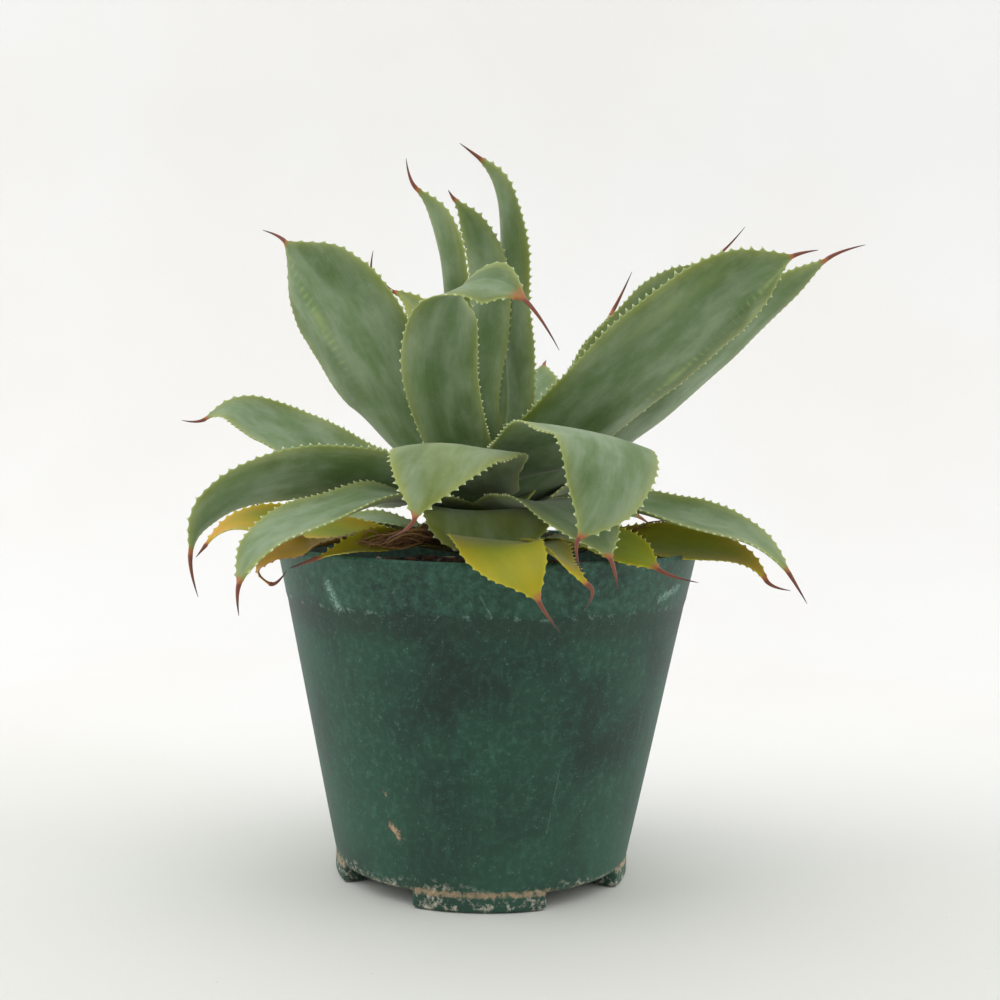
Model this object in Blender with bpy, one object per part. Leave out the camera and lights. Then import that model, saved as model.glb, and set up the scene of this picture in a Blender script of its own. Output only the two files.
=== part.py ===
"""Potted agave: a tapered nursery pot, its soil, a short stem and a rosette of separate toothed leaves.

Run with: blender --background --python part.py
Units are metres, +Z is up, the pot stands on z = 0 and the whole object is centred on X and Y.
"""

import math
from typing import NamedTuple

import bmesh
import bpy
import numpy as np

MM = 0.001
GAP = 0.3 * MM

# Pot
POT_RIM_RADIUS = 75.0 * MM
POT_BASE_RADIUS = 52.0 * MM
POT_HEIGHT = 117.0 * MM
POT_WALL = 2.6 * MM
POT_FLOOR = 3.0 * MM
POT_EDGE_ROUND = 0.9 * MM
POT_STEPS = 72
COLLAR_HEIGHT = 18.0 * MM
COLLAR_STEP = 0.7 * MM
DRAIN_RADIUS = 10.0 * MM
FOOT_HEIGHT = 5.3 * MM
FOOT_DEPTH = 9.0 * MM
FOOT_PROUD = 0.5 * MM
FOOT_BITE = 1.4 * MM
FOOT_SPANS = {270: 50, 0: 70, 90: 50, 180: 70}
FOOT_STEPS = 6

# Soil and stem
HEADSPACE = 12.0 * MM
SOIL_CROWN = 3.0 * MM
STEM_FOOT_RADIUS = 9.0 * MM
STEM_TOP_RADIUS = 4.5 * MM
STEM_OVER_RIM = 38.0 * MM
STEM_PLANTED = 14.0 * MM
STEM_STEPS = 24

# Leaves. Courses are drawn in millimetres for this rim radius and this depth from the rim to the
# soil's crown. They spread with the rim, and below the rim they follow that depth.
DRAWN_RIM_RADIUS = 75.0 * MM
DRAWN_FREE_DEPTH = 9.0 * MM
SPREAD = POT_RIM_RADIUS / DRAWN_RIM_RADIUS
SINK = (HEADSPACE - SOIL_CROWN) / DRAWN_FREE_DEPTH
LEAF_STATIONS = 11
STATION_CROWDING = 0.9
LEAF_SPINE_RADIUS = 1.0
EDGE_SHARE = 0.22
THINNING = 0.6
SPINE_SECTIONS = ((0.0, 1.0), (0.5, 0.62), (0.93, 0.25))
SPINE_BEND = 0.12

LEAF_COLOURS = {
    "leaf_green": (0.16, 0.27, 0.17),
    "leaf_yellow": (0.50, 0.44, 0.05),
    "leaf_dry": (0.30, 0.14, 0.06),
}


class Leaf(NamedTuple):
    """One leaf, in millimetres from the pot's axis at the level of its rim.

    It leaves the stem at a bearing (degrees from +X) and a height, follows its course to the blade's
    end, and ends in a spine. Its facings say which way its upper side looks, from stem to tip.
    """

    name: str
    bearing: float
    height: float
    course: tuple
    spine: tuple
    facings: tuple
    half_width: float
    thick: float = 3.0
    cup: float = 35.0
    neck: float = 0.3
    widest: float = 0.6
    fullness: float = 1.35
    finish: str = "leaf_green"


OLD_LEAVES = (
    Leaf(
        "leaf_withered_curl", 214, -5,
        ((-34, -30, 5), (-57, -42, 4), (-70, -47, 0), (-73, -46, -9)),
        (-67, -46, -11),
        ((0, 0.2, 1), (-0.3, 0.3, 0.9), (-0.9, -0.2, 0.3)),
        5.0, thick=2.0, finish="leaf_dry",
    ),
    Leaf(
        "leaf_withered_rim", 232, -6,
        ((-23, -42, 6), (-40, -58, 5), (-52, -65, 2)),
        (-61, -67, -3),
        ((0, 0, 1), (-0.2, -0.4, 0.9), (-0.5, -0.6, 0.6)),
        7.5, thick=2.0, finish="leaf_yellow",
    ),
    Leaf(
        "leaf_yellow_left", 190, -4,
        ((-45, -10, 9), (-69, -14, 8), (-87, -18, 8), (-98, -20, 0)),
        (-100, -21, -4),
        ((0, 0, 1), (-0.2, -0.5, 0.85), (-0.8, -0.4, 0.5)),
        8.0, thick=2.0, finish="leaf_yellow",
    ),
    Leaf(
        "leaf_hidden_left", 166, -3,
        ((-40, 12, 6), (-62, 18, 5), (-78, 22, 7)),
        (-90, 24, 13),
        ((0, 0, 1), (0, -0.2, 1), (0, -0.3, 1)),
        7.0, thick=2.0,
    ),
    Leaf(
        "leaf_yellow_front", 281, -5,
        ((0, -45, 6), (4, -72, 6), (11, -84, -1), (16, -87, -9)),
        (23, -88, -19),
        ((0, 0.3, 1), (0.1, -0.4, 0.9), (0.1, -1, 0.1)),
        13.0, thick=2.4, widest=0.72, finish="leaf_yellow",
    ),
    Leaf(
        "leaf_yellow_hook", 298, -8,
        ((17, -50, 7), (25, -76, 4), (31, -85, -3)),
        (30, -87, -9),
        ((0, 0.2, 1), (0, -0.2, 1), (0.8, -0.5, 0.2)),
        6.0, thick=2.0, finish="leaf_yellow",
    ),
    Leaf(
        "leaf_yellow_low_right", 318, -6,
        ((29, -42, 7), (45, -60, 4), (53, -69, -1)),
        (63, -72, -4),
        ((0, 0, 1), (0.2, -0.4, 0.9), (0.5, -0.7, 0.5)),
        8.5, thick=2.0, finish="leaf_yellow",
    ),
    Leaf(
        "leaf_yellow_right", 338, -5,
        ((39, -18, 5), (69, -28, 4), (85, -33, 1), (94, -35, -8)),
        (102, -36, -11),
        ((0, 0, 1), (0.2, -0.5, 0.85), (0.6, -0.6, 0.5)),
        9.0, thick=2.2, finish="leaf_yellow",
    ),
    Leaf(
        "husk_front", 256, -6,
        ((-14, -33, -1), (-24, -46, 0), (-35, -50, 0)),
        (-41, -51, -1),
        ((0, 0, 1), (0.2, 0.2, 1), (0.4, 0.2, 1)),
        4.0, thick=1.6, finish="leaf_dry",
    ),
    Leaf(
        "husk_right", 2, -6,
        ((32, -8, 1), (52, -14, 5), (63, -17, 9)),
        (67, -18, 11),
        ((0, 0, 1), (0.1, -0.3, 1), (0.2, -0.5, 1)),
        4.0, thick=1.8, finish="leaf_dry",
    ),
)

OUTER_LEAVES = (
    Leaf(
        "leaf_under_right", 298, 10,
        ((18, -44, 19), (29, -68, 14), (36, -82, 2)),
        (39, -86, -6),
        ((0, 0.3, 1), (0.2, -0.3, 1), (0.3, -0.9, 0.3)),
        12.0,
    ),
    Leaf(
        "leaf_under_front", 266, 5,
        ((-3, -28, 16), (-4, -42, 17), (-4, -52, 15), (-4, -57, 12)),
        (-4, -60, 11),
        ((0, 0.3, 1), (0, -0.2, 1), (0, -1, 0.4)),
        9.2, widest=0.5, fullness=1.7,
    ),
    Leaf(
        "leaf_low_left", 226, 7,
        ((-32, -38, 22), (-51, -60, 17), (-66, -76, 7), (-73, -84, -7)),
        (-73, -86, -15),
        ((0, 0, 1), (-0.2, -0.3, 0.9), (-0.6, -0.6, 0.5)),
        12.0,
    ),
    Leaf(
        "leaf_low_right", 342, 8,
        ((39, -20, 18), (65, -30, 14), (88, -35, 7), (99, -37, -4)),
        (107, -39, -14),
        ((0, 0, 1), (0.1, -0.45, 0.9), (0.8, -0.4, 0.4)),
        11.0,
    ),
    Leaf(
        "leaf_arched_left", 206, 15,
        ((-37, -24, 26), (-59, -38, 27), (-78, -48, 23), (-90, -54, 13), (-94, -57, 0)),
        (-91, -59, -14),
        ((0, 0.2, 1), (-0.1, 0.5, 0.85), (-0.85, 0.2, 0.4)),
        11.0,
    ),
    Leaf(
        "leaf_bent_front", 254, 17,
        ((-9, -32, 25), (-14, -58, 34), (-17, -78, 27), (-21, -86, 14)),
        (-29, -88, 8),
        ((0, 0.3, 1), (0, -0.1, 1), (-0.1, -1, 0.25)),
        17.0, widest=0.55, neck=0.26,
    ),
    Leaf(
        "leaf_bent_right", 296, 22,
        ((20, -36, 28), (35, -62, 35), (35, -80, 25), (26, -84, 11)),
        (29, -86, 0),
        ((0, 0.3, 1), (0.4, -0.2, 0.9), (0.3, -0.95, 0.2)),
        17.0, widest=0.57, neck=0.24, fullness=1.5,
    ),
    Leaf(
        "leaf_reaching_left", 152, 15,
        ((-33, 25, 25), (-60, 38, 33), (-84, 48, 41), (-101, 50, 46), (-112, 50, 42)),
        (-121, 50, 42),
        ((0, 0, 1), (-0.1, -0.5, 0.85), (-0.2, -0.3, 0.9)),
        13.0, fullness=1.6,
    ),
    Leaf(
        "leaf_back_1", 30, 0,
        ((23, 20, 16), (45, 42, 13), (60, 56, 7)),
        (66, 61, 3),
        ((0, 0, 1), (0, 0.3, 1), (0, 0.9, 0.4)),
        11.0,
    ),
    Leaf(
        "leaf_back_2", 62, 13,
        ((22, 44, 26), (33, 72, 24), (38, 94, 12)),
        (41, 100, 5),
        ((0, 0, 1), (0, 0.3, 1), (0, 0.9, 0.4)),
        12.0,
    ),
    Leaf(
        "leaf_back_3", 86, 3,
        ((2, 38, 19), (4, 66, 12), (6, 88, 5)),
        (7, 96, 0),
        ((0, 0, 1), (0, 0.2, 1), (0, 0.8, 0.5)),
        12.0,
    ),
    Leaf(
        "leaf_back_4", 112, 11,
        ((-11, 38, 26), (-20, 66, 24), (-27, 90, 15)),
        (-30, 97, 8),
        ((0, 0, 1), (0, 0.3, 1), (0, 0.9, 0.4)),
        12.0,
    ),
    Leaf(
        "leaf_back_5", 136, 3,
        ((-18, 28, 18), (-37, 50, 14), (-50, 66, 9)),
        (-55, 72, 5),
        ((0, 0, 1), (0, 0.3, 1), (0, 0.9, 0.4)),
        11.0,
    ),
)

INNER_LEAVES = (
    Leaf(
        "leaf_long_right", 354, 17,
        ((32, 0, 32), (62, -6, 55), (88, -12, 79), (107, -14, 95), (116, -14, 102)),
        (129, -14, 107),
        ((-0.3, 0.6, 0.7), (-0.4, 0.7, 0.6), (-0.4, 0.8, 0.6)),
        16.0, fullness=1.7,
    ),
    Leaf(
        "leaf_tall_left", 200, 22,
        ((-20, -14, 32), (-32, -23, 51), (-50, -28, 75), (-70, -24, 103)),
        (-78, -22, 107),
        ((0.7, 0.5, 0.6), (0.4, 0.85, 0.4), (0.2, 0.85, 0.4)),
        18.5, fullness=1.7, cup=40,
    ),
    Leaf(
        "leaf_broad_right", 338, 25,
        ((25, -18, 38), (52, -32, 63), (75, -42, 84), (89, -44, 94), (98, -44, 99)),
        (106, -44, 101),
        ((-0.3, 0.7, 0.6), (-0.35, 0.85, 0.5), (-0.2, 0.9, 0.5)),
        17.0, cup=30, fullness=1.9,
    ),
    Leaf(
        "leaf_hooked_front", 248, 27,
        ((-7, -28, 36), (-16, -38, 59), (-14, -44, 79), (-3, -48, 86), (8, -56, 78)),
        (22, -62, 66),
        ((0, 1, 0.2), (0, 1, 0.1), (-0.2, 0.9, 0.4), (-0.7, 0.1, 0.7), (0, -0.8, 0.6)),
        13.0, cup=25, widest=0.5, fullness=1.9,
    ),
    Leaf(
        "leaf_upright_right", 14, 30,
        ((28, 16, 45), (48, 24, 71), (67, 28, 94), (81, 30, 105)),
        (95, 32, 119),
        ((-0.3, 0.6, 0.7), (-0.5, 0.6, 0.6), (-0.5, 0.6, 0.6)),
        12.0,
    ),
    Leaf(
        "leaf_upright_back", 46, 25,
        ((21, 26, 41), (35, 38, 66), (47, 44, 88)),
        (54, 46, 103),
        ((-0.3, 0.3, 0.8), (-0.6, 0.3, 0.7), (-0.6, 0.3, 0.7)),
        9.0,
    ),
    Leaf(
        "leaf_narrow_left", 164, 30,
        ((-14, 14, 37), (-27, 20, 62), (-38, 25, 81), (-45, 28, 95)),
        (-45, 28, 107),
        ((0.5, 0.2, 0.8), (0.7, 0.3, 0.6), (0.7, 0.3, 0.6)),
        7.0,
    ),
    Leaf(
        "leaf_upright_left", 128, 27,
        ((-9, 24, 40), (-20, 42, 71), (-30, 50, 88), (-39, 52, 94)),
        (-43, 52, 98),
        ((0.2, -0.5, 0.8), (0.1, -0.8, 0.5), (0.1, -0.8, 0.5)),
        11.0,
    ),
    Leaf(
        "leaf_short_back", 66, 29,
        ((14, 34, 41), (21, 52, 56), (24, 62, 64)),
        (24, 66, 66),
        ((-0.2, -0.6, 0.7), (-0.2, -0.5, 0.8), (-0.1, -0.3, 0.9)),
        9.0,
    ),
    Leaf(
        "leaf_heart_left", 218, 33,
        ((-9, -12, 47), (-13, -16, 89), (-15, -17, 104), (-19, -17, 115), (-26, -17, 124)),
        (-30, -17, 133),
        ((0.6, 0.75, 0.1), (0.6, 0.75, 0.1)),
        6.5, cup=55, neck=0.6, widest=0.75, fullness=1.8,
    ),
    Leaf(
        "leaf_heart_middle", 268, 36,
        ((-4, -8, 50), (-2, -4, 76), (-2, -2, 97), (-7, -2, 113), (-14, -2, 123)),
        (-16, -2, 126),
        ((0.2, 1, 0.1), (0.2, 1, 0.1)),
        8.5, cup=50, neck=0.45, widest=0.62, fullness=1.3,
    ),
    Leaf(
        "leaf_heart_tall", 326, 35,
        ((11, -4, 44), (9, 2, 87), (8, 0, 113), (4, -4, 128), (-4, -6, 136)),
        (-12, -9, 140),
        ((0.75, 0.65, 0.1), (0.75, 0.65, 0.1)),
        8.0, cup=55, neck=0.4, widest=0.5, fullness=1.8,
    ),
    Leaf(
        "leaf_spear", 80, 36,
        ((2, 8, 48), (3, 11, 70), (3, 12, 91)),
        (3, 12, 97),
        ((0, 1, 0.1), (0, 1, 0.1)),
        7.0, cup=70, neck=0.6,
    ),
)


def clear_scene():
    """Removes every object, so that the model starts from nothing."""
    for obj in list(bpy.data.objects):
        bpy.data.objects.remove(obj)


def material(name, colour, roughness, metallic=0.0):
    """A Principled BSDF material, made once for each name."""
    found = bpy.data.materials.get(name)
    if found:
        return found
    made = bpy.data.materials.new(name)
    made.use_nodes = True
    shader = made.node_tree.nodes["Principled BSDF"]
    shader.inputs["Base Color"].default_value = (*colour, 1.0)
    shader.inputs["Roughness"].default_value = roughness
    shader.inputs["Metallic"].default_value = metallic
    return made


def add_object(name, mesh_data, finish):
    """Turns a bmesh into a named, smooth-shaded object with one material."""
    bmesh.ops.recalc_face_normals(mesh_data, faces=mesh_data.faces)
    mesh = bpy.data.meshes.new(name)
    mesh_data.to_mesh(mesh)
    mesh_data.free()
    mesh.materials.append(finish)
    mesh.shade_smooth()
    mesh.set_sharp_from_angle(angle=math.radians(40))
    obj = bpy.data.objects.new(name, mesh)
    bpy.context.scene.collection.objects.link(obj)
    return obj


def spun(profile, steps, start=0.0, sweep=math.tau):
    """Spins a closed (radius, height) outline about Z, and caps the ends of a part turn."""
    mesh_data = bmesh.new()
    turn_x, turn_y = math.cos(start), math.sin(start)
    points = [mesh_data.verts.new((r * turn_x, r * turn_y, z)) for r, z in profile]
    outline = mesh_data.faces.new(points)
    if sweep < math.tau:
        bmesh.ops.spin(
            mesh_data, geom=[outline, *outline.edges, *points], cent=(0, 0, 0), axis=(0, 0, 1),
            angle=sweep, steps=steps,
        )
        return mesh_data
    edges = list(outline.edges)
    mesh_data.faces.remove(outline)
    bmesh.ops.spin(
        mesh_data, geom=[*edges, *points], cent=(0, 0, 0), axis=(0, 0, 1), angle=sweep, steps=steps,
    )
    bmesh.ops.remove_doubles(mesh_data, verts=mesh_data.verts, dist=1e-6)
    return mesh_data


def rings_solid(rings):
    """Bridges closed rings of points, each with as many points, into one solid with closed ends."""
    mesh_data = bmesh.new()
    loops = [[mesh_data.verts.new(point) for point in ring] for ring in rings]
    for lower, upper in zip(loops, loops[1:]):
        for index, vertex in enumerate(lower):
            following = (index + 1) % len(lower)
            mesh_data.faces.new((vertex, lower[following], upper[following], upper[index]))
    for ring in (loops[0], loops[-1]):
        middle = mesh_data.verts.new(sum((v.co for v in ring), ring[0].co * 0) / len(ring))
        for index, vertex in enumerate(ring):
            mesh_data.faces.new((vertex, ring[(index + 1) % len(ring)], middle))
    return mesh_data


def boolean(obj, cutter, operation):
    """Joins or cuts with an exact Boolean, and hides the helper from the model."""
    modifier = obj.modifiers.new(operation.lower(), "BOOLEAN")
    modifier.object = cutter
    modifier.operation = operation
    modifier.solver = "EXACT"
    cutter.hide_render = True
    cutter.display_type = "WIRE"


def outer_radius(z):
    """The pot body's outer radius at a height, on the straight taper under the collar."""
    share = (z - FOOT_HEIGHT) / (POT_HEIGHT - FOOT_HEIGHT)
    return POT_BASE_RADIUS + (POT_RIM_RADIUS - COLLAR_STEP - POT_BASE_RADIUS) * share


def inner_radius(z):
    """The pot's inner radius at a height."""
    return outer_radius(z) + COLLAR_STEP - POT_WALL


def build_pot(finish):
    """The pot: a tapered wall with a collar, a floor with a drain hole, and four feet in one piece."""
    collar_z = POT_HEIGHT - COLLAR_HEIGHT
    floor_top = FOOT_HEIGHT + POT_FLOOR
    edge = POT_EDGE_ROUND
    profile = [
        (POT_RIM_RADIUS - edge, POT_HEIGHT),
        (POT_RIM_RADIUS - 0.2 * edge, POT_HEIGHT - 0.3 * edge),
        (POT_RIM_RADIUS, POT_HEIGHT - edge),
        (outer_radius(collar_z) + COLLAR_STEP, collar_z + edge),
        (outer_radius(collar_z), collar_z - edge),
        (outer_radius(FOOT_HEIGHT + 2 * edge), FOOT_HEIGHT + 2 * edge),
        (POT_BASE_RADIUS - 0.3 * edge, FOOT_HEIGHT + 0.5 * edge),
        (POT_BASE_RADIUS - 1.5 * edge, FOOT_HEIGHT),
        (DRAIN_RADIUS, FOOT_HEIGHT),
        (DRAIN_RADIUS, floor_top),
        (inner_radius(floor_top), floor_top),
        (inner_radius(POT_HEIGHT), POT_HEIGHT - edge),
        (inner_radius(POT_HEIGHT) + 0.4 * edge, POT_HEIGHT - 0.2 * edge),
        (inner_radius(POT_HEIGHT) + edge, POT_HEIGHT),
    ]
    pot = add_object("pot", spun(profile, POT_STEPS), finish)
    foot_outline = [
        (POT_BASE_RADIUS - FOOT_DEPTH, 0.0),
        (POT_BASE_RADIUS - FOOT_DEPTH, FOOT_HEIGHT + FOOT_BITE),
        (POT_BASE_RADIUS + FOOT_PROUD, FOOT_HEIGHT + FOOT_BITE),
        (POT_BASE_RADIUS + FOOT_PROUD, edge),
        (POT_BASE_RADIUS + FOOT_PROUD - edge, 0.0),
    ]
    for bearing, span in FOOT_SPANS.items():
        start = math.radians(bearing - span / 2)
        foot = add_object(
            f"foot_at_{bearing}", spun(foot_outline, FOOT_STEPS, start, math.radians(span)), finish
        )
        boolean(pot, foot, "UNION")
    return pot


def soil_top(radius, angle):
    """The soil's height: crowned towards the stem, with low ridges, and level at the wall."""
    share = radius / inner_radius(POT_HEIGHT - HEADSPACE)
    crown = SOIL_CROWN * (1 - share**2)
    ridges = 0.25 * SOIL_CROWN * math.sin(3 * angle + 1.0) * math.sin(math.pi * share)
    return POT_HEIGHT - HEADSPACE + crown + ridges


def build_soil(finish):
    """The soil: it fills the pot to the head space, with a pocket that the stem stands in."""
    bottom = FOOT_HEIGHT + POT_FLOOR + GAP
    level = POT_HEIGHT - HEADSPACE
    pocket = stem_radius(level) + GAP
    pocket_floor = level - STEM_PLANTED
    angles = [math.tau * step / POT_STEPS for step in range(POT_STEPS)]

    def ring(radius, height=None):
        return [
            (radius * math.cos(a), radius * math.sin(a), soil_top(radius, a) if height is None else height)
            for a in angles
        ]

    wall_top = inner_radius(level) - GAP
    rings = [ring(inner_radius(bottom) - GAP, bottom), ring(wall_top)]
    rings += [ring(pocket + (wall_top - pocket) * share) for share in (0.8, 0.6, 0.4, 0.2, 0.0)]
    rings.append(ring(pocket, pocket_floor))
    return add_object("soil", rings_solid(rings), finish)


def stem_radius(z):
    """The stem's radius at a height: even in the ground, then narrowing to its top. It grows with the spread."""
    soil = POT_HEIGHT - HEADSPACE
    share = np.clip((z - soil) / (HEADSPACE + STEM_OVER_RIM * SPREAD), 0.0, 1.0)
    return SPREAD * (STEM_FOOT_RADIUS + (STEM_TOP_RADIUS - STEM_FOOT_RADIUS) * share)


def build_stem(finish):
    """The short stem, from its pocket in the soil up into the heart of the rosette."""
    soil = POT_HEIGHT - HEADSPACE
    foot = soil - STEM_PLANTED + GAP
    top = POT_HEIGHT + STEM_OVER_RIM * SPREAD
    heights = [foot, soil, *np.linspace(soil, top, 6)[1:]]
    angles = [math.tau * step / STEM_STEPS for step in range(STEM_STEPS)]
    rings = [
        [(stem_radius(z) * math.cos(a), stem_radius(z) * math.sin(a), z) for a in angles] for z in heights
    ]
    return add_object("stem", rings_solid(rings), finish)


def smooth_course(points, shares):
    """Reads a smooth curve through the points at shares of its length (cubic, Catmull-Rom tangents)."""
    steps = np.linalg.norm(np.diff(points, axis=0), axis=1)
    knots = np.concatenate([[0.0], np.cumsum(steps)]) / steps.sum()
    slopes = np.empty_like(points)
    slopes[1:-1] = (points[2:] - points[:-2]) / (knots[2:] - knots[:-2])[:, None]
    slopes[0] = 2 * (points[1] - points[0]) / knots[1] - slopes[1]
    slopes[-1] = 2 * (points[-1] - points[-2]) / (1 - knots[-2]) - slopes[-2]
    left = np.clip(np.searchsorted(knots, shares, side="right") - 1, 0, len(points) - 2)
    width = (knots[left + 1] - knots[left])[:, None]
    s = (shares - knots[left])[:, None] / width
    return (
        (1 + 2 * s) * (1 - s) ** 2 * points[left]
        + s * (1 - s) ** 2 * width * slopes[left]
        + s**2 * (3 - 2 * s) * points[left + 1]
        + s**2 * (s - 1) * width * slopes[left + 1]
    )


def unit(vectors):
    """Each row at length one."""
    return vectors / np.linalg.norm(vectors, axis=1)[:, None]


def blade_width(leaf, shares):
    """Half the blade's width along its length: a neck, a swelling to the widest place, a pointed end."""
    rise = np.clip(shares / leaf.widest, 0, 1)
    fall = np.clip((shares - leaf.widest) / (1 - leaf.widest), 0, 1)
    swelling = leaf.neck + (1 - leaf.neck) * rise**2 * (3 - 2 * rise)
    return leaf.half_width * swelling * np.cos(math.pi / 2 * fall**leaf.fullness)


def placed(points):
    """Drawn millimetres from the pot's axis at the rim, as metres in the model."""
    drawn = np.asarray(points, float)
    height = drawn[..., 2:] * np.where(drawn[..., 2:] < 0, SINK, SPREAD)
    return np.concatenate([drawn[..., :2] * SPREAD, height], axis=-1) * MM + (0.0, 0.0, POT_HEIGHT)


def leaf_course(leaf):
    """The blade's middle line, in millimetres from the pot's axis at the rim, starting on the stem."""
    bearing = math.radians(leaf.bearing)
    height = placed((0.0, 0.0, leaf.height))[2]
    reach = (stem_radius(height) + GAP) / (MM * SPREAD) + 0.5 * leaf.thick
    seat = (reach * math.cos(bearing), reach * math.sin(bearing), leaf.height)
    return np.array([seat, *leaf.course], float)


def leaf_rings(leaf):
    """Cross-sections of a leaf from stem to spine tip, each a thin curved lens of eight points."""
    shares = np.linspace(0, 1, LEAF_STATIONS) ** STATION_CROWDING
    course = leaf_course(leaf)
    middle = smooth_course(course, shares)
    step = 1e-3
    ahead = smooth_course(course, np.clip(shares + step, 0, 1))
    behind = smooth_course(course, np.clip(shares - step, 0, 1))
    along = unit(ahead - behind)
    facings = unit(np.array(leaf.facings, float))
    turns = np.linspace(0, 1, len(facings))
    up = np.stack([np.interp(shares, turns, facings[:, axis]) for axis in range(3)], axis=1)
    up = unit(up - (up * along).sum(1)[:, None] * along)
    across = np.cross(up, along)
    width = np.maximum(blade_width(leaf, shares), LEAF_SPINE_RADIUS)
    curl = math.radians(leaf.cup) * np.sin(math.pi * (0.15 + 0.75 * shares))
    thick = leaf.thick * (1 - THINNING * shares)

    def surface(side, sign):
        turn = side * curl
        radius = width / curl
        lift = sign * 0.5 * thick * (EDGE_SHARE + (1 - EDGE_SHARE) * (1 - side**2))
        out = radius * np.sin(turn) - lift * np.sin(turn)
        rise = radius * (1 - np.cos(turn)) + lift * np.cos(turn)
        return middle + across * out[:, None] + up * rise[:, None]

    upper = [surface(side, 1) for side in (-0.5, 0.0, 0.5)]
    lower = [surface(side, -1) for side in (0.5, 0.0, -0.5)]
    rings = np.stack([surface(-1.0, 0), *upper, surface(1.0, 0), *lower], axis=1)[:-1]
    return np.concatenate([rings, spine_rings(leaf, middle[-1], along[-1], across[-1], up[-1])])


def spine_rings(leaf, foot, along, across, up):
    """The terminal spine: three narrowing round sections from the blade's end to the spine's tip."""
    tip = np.array(leaf.spine, float)
    length = np.linalg.norm(tip - foot)
    angles = np.linspace(math.pi, -math.pi, 8, endpoint=False)
    circle = across * np.cos(angles)[:, None] + up * np.sin(angles)[:, None]
    sections = []
    for share, size in SPINE_SECTIONS:
        centre = foot + along * SPINE_BEND * length * (1 - share) + (tip - foot) * share
        sections.append(centre + LEAF_SPINE_RADIUS * size * circle)
    return np.array(sections)


def build_leaf(leaf):
    """One leaf with its spine, from stem to spine tip."""
    finish = material(leaf.finish, LEAF_COLOURS[leaf.finish], 0.55)
    return add_object(leaf.name, rings_solid(placed(leaf_rings(leaf)).tolist()), finish)


def centre_model():
    """Moves every object alike, so that the model's box is centred on X and Y and stands on z = 0."""
    corners = np.array([
        vertex.co for obj in bpy.data.objects if not obj.hide_render for vertex in obj.data.vertices
    ])
    low, high = corners.min(0), corners.max(0)
    shift = ((low[0] + high[0]) / 2, (low[1] + high[1]) / 2)
    for obj in bpy.data.objects:
        obj.location = (-shift[0], -shift[1], 0.0)


def main():
    """Builds the pot, the soil, the stem and every leaf."""
    clear_scene()
    build_pot(material("pot_plastic", (0.03, 0.11, 0.08), 0.6))
    build_soil(material("potting_soil", (0.07, 0.045, 0.03), 0.95))
    build_stem(material("stem_bark", (0.22, 0.20, 0.10), 0.8))
    for leaf in OLD_LEAVES + OUTER_LEAVES + INNER_LEAVES:
        build_leaf(leaf)
    centre_model()


main()
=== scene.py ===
"""Potted agave: the finished looks of the rosette, its pot and its potting mix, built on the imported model.

Lengths in the leaf rows are millimetres from the pot's axis at the level of its rim. Everything else is in metres.
"""

import logging
import math
from dataclasses import dataclass, field
from enum import Enum
from typing import Dict, List, Optional, Tuple, Union

import bpy
import numpy as np
from mathutils import Matrix, Vector


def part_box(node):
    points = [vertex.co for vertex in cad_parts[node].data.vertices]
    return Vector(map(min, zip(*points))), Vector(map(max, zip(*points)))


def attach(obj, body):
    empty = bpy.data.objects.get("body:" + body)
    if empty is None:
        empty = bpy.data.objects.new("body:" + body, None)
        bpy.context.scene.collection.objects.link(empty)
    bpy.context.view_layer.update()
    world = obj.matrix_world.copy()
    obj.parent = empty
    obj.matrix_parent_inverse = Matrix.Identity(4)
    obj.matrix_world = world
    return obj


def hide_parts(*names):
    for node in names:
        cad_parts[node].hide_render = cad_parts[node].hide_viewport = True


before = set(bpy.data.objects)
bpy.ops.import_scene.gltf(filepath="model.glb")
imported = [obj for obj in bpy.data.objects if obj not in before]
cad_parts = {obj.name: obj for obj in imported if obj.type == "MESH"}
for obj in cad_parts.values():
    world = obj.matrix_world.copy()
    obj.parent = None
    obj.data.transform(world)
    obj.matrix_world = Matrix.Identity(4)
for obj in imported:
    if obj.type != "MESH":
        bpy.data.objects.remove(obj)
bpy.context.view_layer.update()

log = logging.getLogger("potted_agave")
MM = 0.001
Array = np.ndarray
Triple = Tuple[float, float, float]
Link = bpy.types.NodeSocket
Socket = Union[Link, float, Triple]


class Ripeness(Enum):
    """How old a leaf is, and with it the name of the material that its finish is built as."""

    FRESH = "leaf_green"
    YELLOWING = "leaf_yellow"
    WITHERED = "leaf_dry"


# ---------------------------------------------------------------- surfaces


@dataclass
class Sheet:
    """A surface in the making: points, groups of faces with as many corners each, and values on the points."""

    points: Array
    faces: List[Array]
    values: Dict[str, Array] = field(default_factory=dict)

    def with_other(self, other: "Sheet") -> "Sheet":
        """Both surfaces as one, for the values that they share.

        Args:
            other: the surface that is added.

        Returns:
            The joined surface.
        """
        shared = {k: np.concatenate([v, other.values[k]]) for k, v in self.values.items() if k in other.values}
        faces = [*self.faces, *(group + len(self.points) for group in other.faces)]
        return Sheet(np.concatenate([self.points, other.points]), faces, shared)


def grid_quads(rows: int, columns: int, rows_close: bool = False) -> Array:
    """Quads of a grid of rows by columns whose columns run round and close.

    Args:
        rows: the number of rings.
        columns: the number of points in each ring.
        rows_close: whether the last ring is joined to the first.

    Returns:
        Point numbers, four to a quad.
    """
    row = np.arange(rows if rows_close else rows - 1)[:, None]
    column = np.arange(columns)[None, :]
    after, beside = (row + 1) % rows, (column + 1) % columns
    corners = (row * columns + column, row * columns + beside, after * columns + beside, after * columns + column)
    return np.stack(np.broadcast_arrays(*corners), axis=-1).reshape(-1, 4)


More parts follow.
